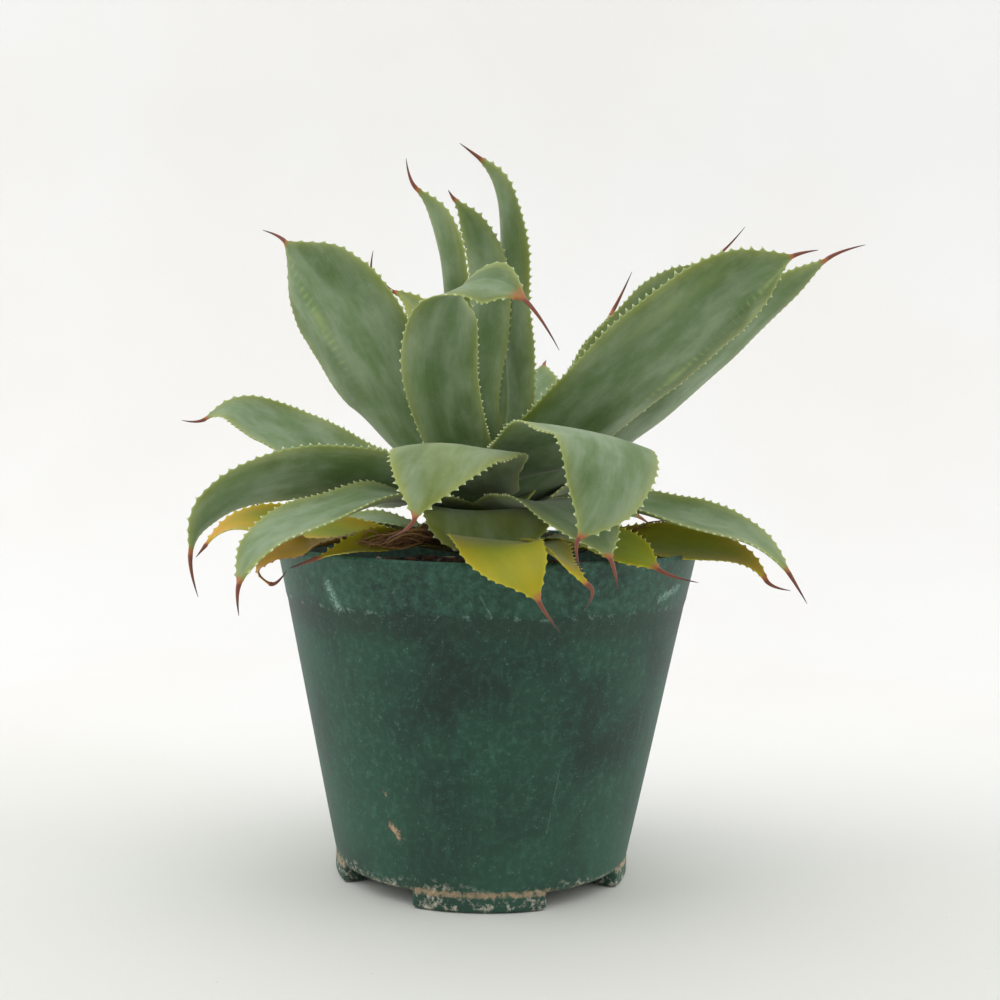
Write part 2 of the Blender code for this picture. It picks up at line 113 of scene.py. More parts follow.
def capped_tube(rings: Array, values: Optional[Dict[str, Array]] = None, flipped: bool = False) -> Sheet:
    """Joins rings of points into a closed surface, with a pole in the middle of its first and its last ring.

    Args:
        rings: the points, ring by ring.
        values: the values on them, in the same shape.
        flipped: whether to turn the faces over, because the rings run the other way round.

    Returns:
        The closed surface, whose last two points are the poles.
    """
    rows, columns = rings.shape[:2]
    points = np.concatenate([rings.reshape(-1, 3), rings[:1].mean(1), rings[-1:].mean(1)])
    column = np.arange(columns)
    beside, last = (column + 1) % columns, (rows - 1) * columns
    first_pole = np.stack([beside, column, np.full(columns, rows * columns)], -1)
    last_pole = np.stack([column + last, beside + last, np.full(columns, rows * columns + 1)], -1)
    faces = [grid_quads(rows, columns), np.concatenate([first_pole, last_pole])]
    made = {k: np.concatenate([v.reshape(-1, 3), v[0, :1], v[-1, :1]]) for k, v in (values or {}).items()}
    return Sheet(points, [group[:, ::-1] for group in faces] if flipped else faces, made)


def mesh_piece(name: str, sheet: Sheet, finish: bpy.types.Material) -> bpy.types.Object:
    """Puts a surface into a named mesh object at the origin, smooth-shaded, with its values as point attributes.

    Args:
        name: the object's name.
        sheet: the surface, in metres in the row frame.
        finish: its material.

    Returns:
        The new object, linked to the scene.
    """
    mesh = bpy.data.meshes.new(name)
    corners = np.concatenate([group.ravel() for group in sheet.faces]).astype(np.int32)
    sizes = np.concatenate([np.full(len(group), group.shape[1]) for group in sheet.faces])
    mesh.vertices.add(len(sheet.points))
    mesh.vertices.foreach_set("co", sheet.points.astype(np.float32).ravel())
    mesh.loops.add(len(corners))
    mesh.loops.foreach_set("vertex_index", corners)
    mesh.polygons.add(len(sizes))
    mesh.polygons.foreach_set("loop_start", (np.cumsum(sizes) - sizes).astype(np.int32))
    mesh.update(calc_edges=True)
    for key, value in sheet.values.items():
        layer = mesh.attributes.new(key, "FLOAT_VECTOR", "POINT")
        layer.data.foreach_set("vector", value.astype(np.float32).ravel())
    mesh.validate()
    mesh.shade_smooth()
    mesh.materials.append(finish)
    piece = bpy.data.objects.new(name, mesh)
    bpy.context.scene.collection.objects.link(piece)
    return piece


def place_piece(piece: bpy.types.Object, node: str) -> bpy.types.Object:
    """Makes a piece ride on the plant's one body and stand for its node, whose CAD part it hides."""
    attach(piece, "root")
    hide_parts(node)
    return piece


def unit(vectors: Array) -> Array:
    """Each row at length one."""
    return vectors / np.maximum(np.linalg.norm(vectors, axis=-1, keepdims=True), 1e-12)


def smoothstep(low: float, high: float, value: Array) -> Array:
    """Rises from 0 at low to 1 at high as 3t^2 - 2t^3."""
    t = np.clip((value - low) / (high - low), 0, 1)
    return t * t * (3 - 2 * t)


def smooth_course(points: Array, shares: Array) -> Array:
    """A smooth curve through the points, read at shares of its chord length: Hermite cubics with Catmull-Rom slopes.

    Args:
        points: the points it passes through, one a row.
        shares: where to read it, from 0 to 1.

    Returns:
        One point for each share.
    """
    steps = np.linalg.norm(np.diff(points, axis=0), axis=1)
    knots = np.concatenate([[0.0], np.cumsum(steps)]) / steps.sum()
    slopes = np.empty_like(points)
    slopes[1:-1] = (points[2:] - points[:-2]) / (knots[2:] - knots[:-2])[:, None]
    slopes[0] = 2 * (points[1] - points[0]) / knots[1] - slopes[1]
    slopes[-1] = 2 * (points[-1] - points[-2]) / (1 - knots[-2]) - slopes[-2]
    left = np.clip(np.searchsorted(knots, shares, side="right") - 1, 0, len(points) - 2)
    width = (knots[left + 1] - knots[left])[:, None]
    s = (shares - knots[left])[:, None] / width
    return (
        (1 + 2 * s) * (1 - s) ** 2 * points[left]
        + s * (1 - s) ** 2 * width * slopes[left]
        + s**2 * (3 - 2 * s) * points[left + 1]
        + s**2 * (s - 1) * width * slopes[left + 1]
    )


def ripples(u: Array, v: Array, rng: np.random.Generator, waves: int = 6) -> Array:
    """Soft unevenness over a surface: a sum of sines of u and v with random directions and phases, about -1 to 1.

    Args:
        u: the first parameter.
        v: the second parameter.
        rng: where the random numbers come from.
        waves: how many sines are added.

    Returns:
        The height at each point.
    """
    rates = rng.uniform(0.6, 2.4, (waves, 2)) * rng.choice([-1, 1], (waves, 2))
    phases = rng.uniform(0, math.tau, waves)
    total = sum(np.sin(a * u + b * v + p) for (a, b), p in zip(rates, phases))
    return total / math.sqrt(waves)


# ---------------------------------------------------------------- finishes


class ShaderDesk:
    """Builds one node material: a Principled shader and the nodes that feed it."""

    def __init__(self, name: str) -> None:
        """Starts a material of that name with a Principled shader."""
        self.material = bpy.data.materials.new(name)
        self.material.use_nodes = True
        self.tree = self.material.node_tree
        self.shader = self.tree.nodes["Principled BSDF"]
        self.texture = self.add("ShaderNodeTexCoord")
        self.skin: Socket = (0.0, 0.0, 0.0)

    def add(self, kind: str, **settings: object) -> bpy.types.Node:
        """A new node of that kind with its settings."""
        node = self.tree.nodes.new(kind)
        for key, value in settings.items():
            setattr(node, key, value)
        return node

    def feed(self, socket: Link, value: Socket) -> None:
        """Links a socket into another, or sets it to a constant."""
        if isinstance(value, Link):
            self.tree.links.new(value, socket)
        elif isinstance(value, tuple) and socket.type == "RGBA":
            socket.default_value = (*value, 1.0)
        else:
            socket.default_value = value

    @property
    def place(self) -> Link:
        """Object coordinates, in metres."""
        return self.texture.outputs["Object"]

    def value_of(self, name: str) -> Tuple[Link, Link, Link]:
        """The three numbers of a point attribute."""
        split = self.add("ShaderNodeSeparateXYZ")
        self.feed(split.inputs[0], self.add("ShaderNodeAttribute", attribute_name=name).outputs["Vector"])
        return split.outputs[0], split.outputs[1], split.outputs[2]

    def vector_of(self, name: str) -> Link:
        """A point attribute as a vector."""
        return self.add("ShaderNodeAttribute", attribute_name=name).outputs["Vector"]

    def stretched(self, vector: Socket, scale: Triple, shift: Triple = (0.0, 0.0, 0.0)) -> Link:
        """A vector scaled along its axes and then shifted."""
        node = self.add("ShaderNodeMapping")
        self.feed(node.inputs["Vector"], vector)
        node.inputs["Scale"].default_value = scale
        node.inputs["Location"].default_value = shift
        return node.outputs[0]

    def noise(self, vector: Socket, scale: float, detail: float = 4.0, rough: float = 0.55) -> Link:
        """Noise from 0 to 1 with that many features to the unit."""
        node = self.add("ShaderNodeTexNoise")
        self.feed(node.inputs["Vector"], vector)
        node.inputs["Scale"].default_value = scale
        node.inputs["Detail"].default_value = detail
        node.inputs["Roughness"].default_value = rough
        return node.outputs["Fac"]

    def cells(self, vector: Socket, scale: float, rings: bool = False) -> Link:
        """Distance to the nearest of scattered points, or a number for each cell."""
        node = self.add("ShaderNodeTexVoronoi")
        self.feed(node.inputs["Vector"], vector)
        node.inputs["Scale"].default_value = scale
        return node.outputs["Distance"] if rings else node.outputs["Color"]

    def maths(self, step: str, a: Socket, b: Socket = 0.0, clamp: bool = False) -> Link:
        """One arithmetic step on two numbers."""
        node = self.add("ShaderNodeMath", operation=step, use_clamp=clamp)
        self.feed(node.inputs[0], a)
        self.feed(node.inputs[1], b)
        return node.outputs[0]

    def times(self, a: Socket, b: Socket, clamp: bool = False) -> Link:
        """The product of two numbers."""
        return self.maths("MULTIPLY", a, b, clamp)

    def vectors(self, step: str, a: Socket, b: Union[Socket, Vector, None] = None, out: int = 0) -> Link:
        """One step on vectors. Output 0 is a vector, and output 1 a number, such as a length."""
        node = self.add("ShaderNodeVectorMath", operation=step)
        self.feed(node.inputs[0], a)
        if b is not None:
            self.feed(node.inputs[1], b)
        return node.outputs[out]

    def ease(self, value: Socket, start: float, end: float, low: float = 0.0, high: float = 1.0) -> Link:
        """Goes smoothly from low to high as the value goes from start to end."""
        node = self.add("ShaderNodeMapRange", interpolation_type="SMOOTHSTEP")
        self.feed(node.inputs["Value"], value)
        rising = start < end
        node.inputs["From Min"].default_value = start if rising else end
        node.inputs["From Max"].default_value = end if rising else start
        node.inputs["To Min"].default_value = low if rising else high
        node.inputs["To Max"].default_value = high if rising else low
        return node.outputs["Result"]

    def mixed(self, share: Socket, a: Socket, b: Socket) -> Link:
        """Colour a turned towards colour b by a share."""
        node = self.add("ShaderNodeMix", data_type="RGBA", blend_type="MIX", clamp_factor=True)
        self.feed(node.inputs[0], share)
        self.feed(node.inputs[6], a)
        self.feed(node.inputs[7], b)
        return node.outputs[2]

    def coat(self, tone: Socket, *shares: Union[Socket, Tuple]) -> None:
        """Lays a colour over the skin so far, as strongly as the product of its shares.

        Args:
            tone: the colour.
            shares: numbers, or what ease() takes, as a tuple.
        """
        eased = [self.ease(*share) if isinstance(share, tuple) else share for share in shares]
        total = eased[0]
        for share in eased[1:]:
            total = self.times(total, share)
        self.skin = self.mixed(total, self.skin, tone)

    def relief(self, height: Socket, depth: float, strength: float = 1.0, below: Optional[Link] = None) -> Link:
        """A bump of that depth in metres, over another one if given."""
        node = self.add("ShaderNodeBump")
        node.inputs["Strength"].default_value = strength
        node.inputs["Distance"].default_value = depth
        self.feed(node.inputs["Height"], height)
        if below is not None:
            self.feed(node.inputs["Normal"], below)
        return node.outputs[0]

    def finish(self, rough: Socket, normal: Socket, **constants: float) -> bpy.types.Material:
        """Feeds the skin and the rest to the shader, and returns the material.

        Args:
            rough: the roughness.
            normal: the bumped normal.
            constants: numbers for the shader's own sockets, by name with underscores for spaces.

        Returns:
            The finished material.
        """
        self.feed(self.shader.inputs["Base Color"], self.skin)
        self.feed(self.shader.inputs["Roughness"], rough)
        self.feed(self.shader.inputs["Normal"], normal)
        for key, value in constants.items():
            self.shader.inputs[key.replace("_", " ")].default_value = value
        return self.material


def colour(red: float, green: float, blue: float) -> Triple:
    """A colour of 0 to 255 screen values as linear light."""
    return tuple(((c / 255 + 0.055) / 1.055) ** 2.4 if c > 10 else c / 255 / 12.92 for c in (red, green, blue))


@dataclass(frozen=True)
class LeafFinish:
    """The waxy skin of an agave leaf: grey bloom over green flesh, pale margins and a horny spine."""

    ripeness: Ripeness
    bloom: Triple
    flesh: Triple
    rubbed: Triple
    margin: Triple
    tooth: Triple
    ageing: Triple = colour(176, 172, 26)
    scorched: Triple = colour(214, 150, 34)
    horn_root: Triple = colour(176, 108, 62)
    horn: Triple = colour(130, 74, 54)
    horn_tip: Triple = colour(66, 50, 48)
    dead: Triple = colour(116, 66, 40)
    vein: Triple = colour(205, 214, 190)
    powder: Triple = colour(196, 206, 186)

    def material(self) -> bpy.types.Material:
        """Builds the finish.

        The points carry "grain" (millimetres along and across the leaf, and +1 on the upper side or -1 below),
        "marks" (nearness to the margin, share of the spine, print of the neighbouring leaf's teeth) and
        "tint" (yellowing, scorching, rubbing).

        Returns:
            The material.
        """
        desk = ShaderDesk(self.ripeness.value)
        edge, horn, teeth = desk.value_of("marks")
        yellow, scorch, rub = desk.value_of("tint")
        grain = desk.vector_of("grain")
        patches = desk.noise(desk.place, 42.0, 3.0, 0.5)
        clouds = desk.noise(desk.place, 150.0, 5.0, 0.6)
        streaks = desk.noise(desk.stretched(grain, (0.03, 0.45, 0.0)), 1.0, 5.0, 0.6)
        veins = desk.noise(desk.stretched(grain, (0.05, 3.4, 0.0)), 1.0, 2.0, 0.5)
        dust = desk.noise(desk.place, 1500.0, 4.0, 0.7)
        broad = desk.noise(desk.stretched(grain, (0.030, 0.075, 0.0)), 1.0, 3.0, 0.5)
        smear = desk.noise(desk.stretched(grain, (0.045, 0.11, 0.0), (3.0, 7.0, 0.0)), 1.0, 4.0, 0.62)
        specks = desk.cells(desk.place, 240.0, rings=True)
        wear = desk.maths("ADD", desk.ease(broad, 0.48, 0.72), rub, clamp=True)
        wear = desk.times(wear, desk.ease(clouds, 0.25, 0.58, 0.35, 1.0), clamp=True)
        horn_foot = desk.maths("ADD", horn, desk.ease(clouds, 0.2, 0.8, -0.1, 0.1))
        desk.skin = self.bloom
        desk.coat(self.flesh, (smear, 0.30, 0.70, 0.1, 0.9))
        desk.coat(self.flesh, (streaks, 0.38, 0.80, 0.0, 0.30))
        desk.coat(self.bloom, (clouds, 0.45, 0.75, 0.0, 0.30))
        desk.coat(self.rubbed, wear, 0.75)
        desk.coat(self.vein, (veins, 0.50, 0.75, 0.0, 0.06))
        desk.coat(self.powder, (dust, 0.55, 0.80, 0.0, 0.22))
        desk.coat(self.margin, teeth, (clouds, 0.25, 0.6, 0.35, 0.9))
        desk.coat(self.ageing, yellow, (patches, 0.15, 0.62, 0.72, 1.15))
        desk.coat(self.scorched, scorch, (clouds, 0.2, 0.6, 0.5, 1.1))
        desk.coat(self.margin, (edge, 0.15, 0.95, 0.0, 0.75))
        desk.coat(self.tooth, (edge, 1.05, 1.6))
        desk.coat(self.dead, (specks, 0.09, 0.04), (patches, 0.50, 0.66), 0.55)
        desk.coat(self.horn_root, (horn_foot, -0.26, -0.06))
        desk.coat(self.horn, (horn, -0.10, 0.10))
        desk.coat(self.horn_tip, (horn, 0.45, 0.95, 0.0, 0.8))
        rough = desk.maths("ADD", desk.ease(wear, 0.0, 1.0, 0.60, 0.46), desk.ease(dust, 0.3, 0.7, -0.04, 0.06))
        rough = desk.maths("SUBTRACT", rough, desk.ease(horn, -0.1, 0.1, 0.0, 0.16))
        lines = desk.relief(desk.maths("ADD", streaks, desk.times(veins, 0.25)), 0.00018, 0.35)
        bumps = desk.relief(desk.maths("ADD", dust, desk.times(clouds, 1.2)), 0.00012, 0.45, lines)
        bumps = desk.relief(teeth, 0.00025, 0.6, bumps)
        return desk.finish(rough, bumps, Sheen_Weight=0.22, Sheen_Roughness=0.42, Specular_IOR_Level=0.40)


GREEN_LEAF = LeafFinish(
    Ripeness.FRESH,
    bloom=colour(144, 163, 131),
    flesh=colour(96, 125, 68),
    rubbed=colour(70, 100, 38),
    margin=colour(158, 178, 106),
    tooth=colour(226, 230, 186),
)
YELLOW_LEAF = LeafFinish(
    Ripeness.YELLOWING,
    bloom=colour(142, 156, 6),
    flesh=colour(108, 132, 2),
    rubbed=colour(86, 116, 2),
    margin=colour(182, 182, 30),
    tooth=colour(202, 186, 96),
    ageing=colour(186, 170, 4),
)
DRY_LEAF = LeafFinish(
    Ripeness.WITHERED,
    bloom=colour(172, 122, 84),
    flesh=colour(128, 78, 50),
    rubbed=colour(92, 50, 34),
    margin=colour(184, 140, 84),
    tooth=colour(170, 130, 90),
    ageing=colour(160, 138, 44),
)


# ---------------------------------------------------------------- leaves


@dataclass(frozen=True)
class LeafPlan:
    """One leaf of the rosette, in millimetres from the pot's axis at its rim.

    - bearing, height: where it leaves the stem, in degrees from +X.
    - course, spine: its middle line to the blade's end, then the spine's point.
    - facings: which way its upper side looks, from stem to tip.
    - half_width, widths: half its greatest width, and its outline in shares of that from stem to tip.
    - thick, cup: its thickness, and half the angle of its channel from stem to tip, in degrees.
    - pitch, tooth, wave: the spacing and height of its margin teeth, and the swing of its margins.
    - hook: how far the spine bends aside.
    - age: its yellowing and its scorching.
    - rubbed, print_at: how much bloom is wiped off, and where its neighbour's teeth left a line.
    - streak: where a pale scrape starts and ends along its back, and how far across it lies.
    - fibres: how many loose strands hang about it.
    """

    node: str
    bearing: float
    height: float
    course: Tuple[Triple, ...]
    spine: Triple
    facings: Tuple[Triple, ...]
    half_width: float
    thick: float = 3.0
    cup: Tuple[float, ...] = (16, 30, 35, 30, 12)
    widths: Tuple[float, ...] = (0.75, 0.72, 0.80, 0.90, 0.98, 1.0, 0.94, 0.78, 0.48, 0.0)
    ripeness: Ripeness = Ripeness.FRESH
    pitch: float = 2.7
    tooth: float = 0.95
    wave: float = 0.5
    hook: Triple = (0.0, 0.0, 0.0)
    age: Tuple[float, float] = (0.0, 0.0)
    rubbed: float = 0.0
    print_at: float = 0.0
    streak: Triple = (0.0, 0.0, 0.0)
    fibres: int = 0


@dataclass
class Leaf:
    """Builds one leaf: blade, margin teeth and terminal spine in one closed surface."""

    plan: LeafPlan
    axis: Vector
    number: int
    spine_radius: float = 0.75
    spine_point: float = 0.07
    edge_share: float = 0.30
    thinning: float = 0.55
    root_reach: float = 3.0
    tooth_steps: Tuple[float, ...] = (0.0, 0.12, 0.23, 0.37, 0.5, 0.62, 0.73, 0.87)
    spine_steps: int = 26
    columns: Tuple[float, ...] = (0.0, 0.17, 0.34, 0.5, 0.64, 0.76, 0.855, 0.92, 0.96, 0.985, 1.0)

    def course(self) -> Array:
        """The middle line's points, starting inside the stem."""
        turn = math.radians(self.plan.bearing)
        seat = (self.root_reach * math.cos(turn), self.root_reach * math.sin(turn), self.plan.height)
        return np.array([seat, *self.plan.course], float)

    def stations(self, length: float) -> Tuple[Array, Array]:
        """Shares of the blade's length, eight to each tooth.

        Args:
            length: the blade's length in millimetres.

        Returns:
            The shares, and how many teeth lie before each.
        """
        count = max(6, round(length / self.plan.pitch))
        teeth = (np.arange(count)[:, None] + np.array(self.tooth_steps)[None, :]).ravel()
        return teeth / count, teeth

    def half_widths(self, t: Array) -> Array:
        """Half the blade's width: the outline's shares joined by lines, then smoothed over a tenth of the length."""
        fine = np.linspace(0, 1, 401)
        shares = np.array(self.plan.widths)
        joined = np.interp(fine, np.linspace(0, 1, len(shares)), shares)
        kernel = np.hanning(43)
        padded = np.pad(joined, 21, mode="reflect", reflect_type="odd")
        smoothed = np.convolve(padded, kernel / kernel.sum(), "valid")
        return self.plan.half_width * np.interp(t, fine, np.maximum(smoothed, 0))

    def teeth(self, count: Array, shift: float, rng: np.random.Generator) -> Array:
        """Heights of one margin's teeth: a pointed bump at the middle of each pitch, each of its own height.

        Args:
            count: how many teeth lie before each station.
            shift: where on the pitch this margin's bumps stand.
            rng: where the random heights come from.

        Returns:
            The height at each station, from 0 to about 1.
        """
        moved = count + shift
        heights = rng.uniform(0.6, 1.45, int(moved.max()) + 2)[np.floor(moved).astype(int)]
        beside = np.abs(moved - np.floor(moved) - 0.5)
        return heights * np.clip(1 - beside / 0.27, 0, 1) ** 1.15

    def facing(self, t: Array, along: Array) -> Array:
        """Which way the upper side looks: the facings joined by lines, smoothed, and squared to the middle line.

        Args:
            t: shares of the blade's length.
            along: the middle line's direction at each.

        Returns:
            One direction for each share.
        """
        facings = unit(np.array(self.plan.facings, float))
        turns = np.linspace(0, 1, len(facings))
        up = np.stack([np.interp(t, turns, facings[:, axis]) for axis in range(3)], axis=1)
        kernel = np.hanning(2 * (len(t) // 14) + 3)
        padded = np.pad(up, ((len(kernel) // 2,) * 2, (0, 0)), mode="edge")
        up = np.stack([np.convolve(padded[:, axis], kernel / kernel.sum(), "valid") for axis in range(3)], axis=1)
        return unit(up - (up * along).sum(1)[:, None] * along)

    def horn(self, foot: Array, ahead: Array, up: Array) -> Tuple[Array, Array, Array, Array]:
        """The spine's line: a quadratic curve that leaves the blade straight on and ends in the spine's point.

        Args:
            foot: the blade's end.
            ahead: its direction there.
            up: its facing there.

        Returns:
            Shares of the spine's length, and its points, directions and facings at them.
        """
        tip = np.array(self.plan.spine, float)
        bend = foot + ahead * 0.35 * float(np.linalg.norm(tip - foot)) + np.array(self.plan.hook)
        share = np.linspace(0, 1, self.spine_steps + 1)[1:]
        w = share[:, None]
        points = (1 - w) ** 2 * foot + 2 * w * (1 - w) * bend + w**2 * tip
        along = unit(2 * (1 - w) * (bend - foot) + 2 * w * (tip - bend))
        return share, points, along, unit(up - (along @ up)[:, None] * along)

    def surface(self) -> Sheet:
        """The leaf's surface as a function of the share along it and the angle round its section.

        Each section is an arc of the channel with a lens-shaped thickness, rounded at both margins; towards the end
        it turns into a circle, which narrows along the spine.

        Returns:
            The closed surface with its grain, marks and tint.
        """
        plan = self.plan
        rng = np.random.default_rng(100 + self.number)
        knots = self.course()
        length = float(np.linalg.norm(np.diff(smooth_course(knots, np.linspace(0, 1, 200)), axis=0), axis=1).sum())
        t, count = self.stations(length)
        step = 1e-3
        middle = smooth_course(knots, t)
        along = unit(smooth_course(knots, np.clip(t + step, 0, 1)) - smooth_course(knots, np.clip(t - step, 0, 1)))
        up = self.facing(t, along)
        share, horn, horn_along, horn_up = self.horn(middle[-1], along[-1], up[-1])
        reach = float(np.linalg.norm(np.array(plan.spine, float) - middle[-1]))
        middle = np.concatenate([middle, horn])
        along = np.concatenate([along, horn_along])
        up = np.concatenate([up, horn_up])
        across = np.cross(up, along)
        blade = np.concatenate([t, np.ones(self.spine_steps)])
        spine = np.concatenate([(t - 1) * length / max(reach, 8.0), share])
        taper = self.spine_radius * (1 - np.clip(spine, 0, 1)) ** 0.85 + self.spine_point
        width = np.hypot(self.half_widths(blade) * (spine < 0), taper * smoothstep(-0.9, 0.0, spine))
        roundness = smoothstep(-0.22, 0.12, spine)
        thick = np.where(spine < 0, plan.thick * (1 - self.thinning * blade), 2 * taper)
        thick = np.minimum(thick, 2 * np.maximum(width, taper))
        curl = np.interp(blade, np.linspace(0, 1, len(plan.cup)), np.radians(plan.cup)) * (1 - roundness)

        half = np.array(self.columns)
        top = np.concatenate([-half[:0:-1], half])
        section = np.concatenate([top, top[-2:0:-1]])
        side = np.concatenate([np.ones(len(top)), -np.ones(len(top) - 2)])
        s = section[None, :] + 0 * t[:1, None]
        off_edge = (1 - np.abs(s)) * width[:, None]
        lens = self.edge_share + (1 - self.edge_share) * (1 - s**2)
        rim = np.sqrt(np.clip(1 - np.clip(1 - off_edge / 0.35, 0, 1) ** 2, 0, 1))
        circle = np.sqrt(np.clip(1 - s**2, 0, 1))
        keel = 1 + 0.22 * (side < 0) * np.exp(-((s / 0.4) ** 2)) * (1 - blade[:, None])
        lift = 0.5 * side * ((1 - roundness)[:, None] * (thick[:, None] * lens * rim * keel))
        lift = lift + side * roundness[:, None] * taper[:, None] * circle
        fresh = (1 - roundness)[:, None]
        uneven = ripples(length / 16 * blade[:, None], 1.7 * s, rng)
        lift = lift + fresh * 0.16 * uneven * (1 - 0.5 * np.abs(s))

        past = (0, self.spine_steps)
        left, right = (np.pad(self.teeth(count, shift, rng), past)[:, None] for shift in (0.5, 0.0))
        bumps = np.where(s < 0, left, right)
        grown = smoothstep(0.10, 0.26, blade) * (1 - smoothstep(0.965, 0.998, blade)) * (spine < 0)
        bumps = bumps * grown[:, None]
        near = np.clip(1 - off_edge / 1.15, 0, 1) ** 1.6
        scallop = 0.12 * np.cos(math.tau * np.pad(count, past))[:, None] * np.sign(s) * grown[:, None]
        spread = (plan.tooth * bumps - np.abs(scallop)) * near
        lean = 0.3 * plan.tooth * bumps * near

        turn = s * curl[:, None]
        chord = width[:, None] * s * np.sinc(turn / math.pi)
        depth = width[:, None] * s * np.sinc(turn / math.tau) ** 2 * turn / 2
        sway = plan.wave * np.sin(math.tau * (blade * length / 34 + rng.uniform()) + 0.9 * rng.uniform())[:, None]
        flare = sway * np.abs(s) ** 3 * fresh * smoothstep(0.1, 0.4, blade)[:, None] * np.where(s < 0, 1.0, -0.7)
        out = chord - lift * np.sin(turn) + np.sign(s) * np.cos(turn) * spread
        rise = depth + lift * np.cos(turn) + np.sign(s) * np.sin(turn) * spread + flare
        points = middle[:, None] + across[:, None] * out[..., None] + up[:, None] * rise[..., None]
        points = points + along[:, None] * lean[..., None]

        far = blade[:, None] * length + 311.0 * self.number
        grain = np.stack(np.broadcast_arrays(far, s * width[:, None], side), -1)
        imprint = self.imprint(s, blade[:, None], bumps, width[:, None], side)
        edge = np.clip(1 - off_edge / 0.95, 0, 1) * grown[:, None] + 0.9 * np.clip(bumps, 0, 1) * near
        marks = np.stack(np.broadcast_arrays(edge, spine[:, None], imprint), -1)
        tint = self.tint(blade[:, None], s, off_edge, rng)
        return capped_tube(points * MM + np.array(self.axis), {"grain": grain, "marks": marks, "tint": tint}, True)

    def imprint(self, s: Array, blade: Array, bumps: Array, width: Array, side: Array) -> Array:
        """The line that an older neighbour's toothed margin pressed into the back of the leaf while both were folded.

        Args:
            s: place across the leaf, -1 to 1.
            blade: place along it, 0 to 1.
            bumps: the heights of the teeth.
            width: half the width.
            side: +1 on the upper side and -1 below.

        Returns:
            The strength of the print, 0 to 1.
        """
        line = self.plan.print_at * (1 - 0.35 * blade**2)
        away = np.abs(s - line) * width
        pressed = np.exp(-((away / (0.22 + 0.6 * bumps)) ** 2)) * smoothstep(0.25, 0.5, blade)
        pressed = pressed * bool(self.plan.print_at)
        start, end, across = self.plan.streak
        inside = np.sin(math.pi * np.clip((blade - start) / max(end - start, 1e-3), 0, 1))
        scraped = 0.55 * inside * np.exp(-(((s - across - 0.2 * (blade - start)) * width / 1.6) ** 2))
        return (side < 0) * np.clip(0.8 * pressed + scraped, 0, 1)

    def tint(self, blade: Array, s: Array, off_edge: Array, rng: np.random.Generator) -> Array:
        """Yellowing from the margins and the tip inwards, scorching at the very edge, and rubbed patches.

        Args:
            blade: place along the leaf, 0 to 1.
            s: place across it, -1 to 1.
            off_edge: distance from the margin in millimetres.
            rng: where the random numbers come from.

        Returns:
            The three strengths at each point.
        """
        yellow, scorch = self.plan.age
        fuzz = ripples(6 * blade, 2.5 * s, rng)
        rim = np.exp(-off_edge / 1.6) * 0.45 + yellow * (0.7 + 0.25 * fuzz)
        burnt = scorch * (np.exp(-off_edge / 2.2) + smoothstep(0.72, 1.0, blade) + 0.2 * fuzz)
        patch = self.plan.rubbed * smoothstep(0.35, 1.1, ripples(5 * blade, 2.2 * s, rng))
        return np.stack(np.broadcast_arrays(np.clip(rim, 0, 1), np.clip(burnt, 0, 1), patch), -1)


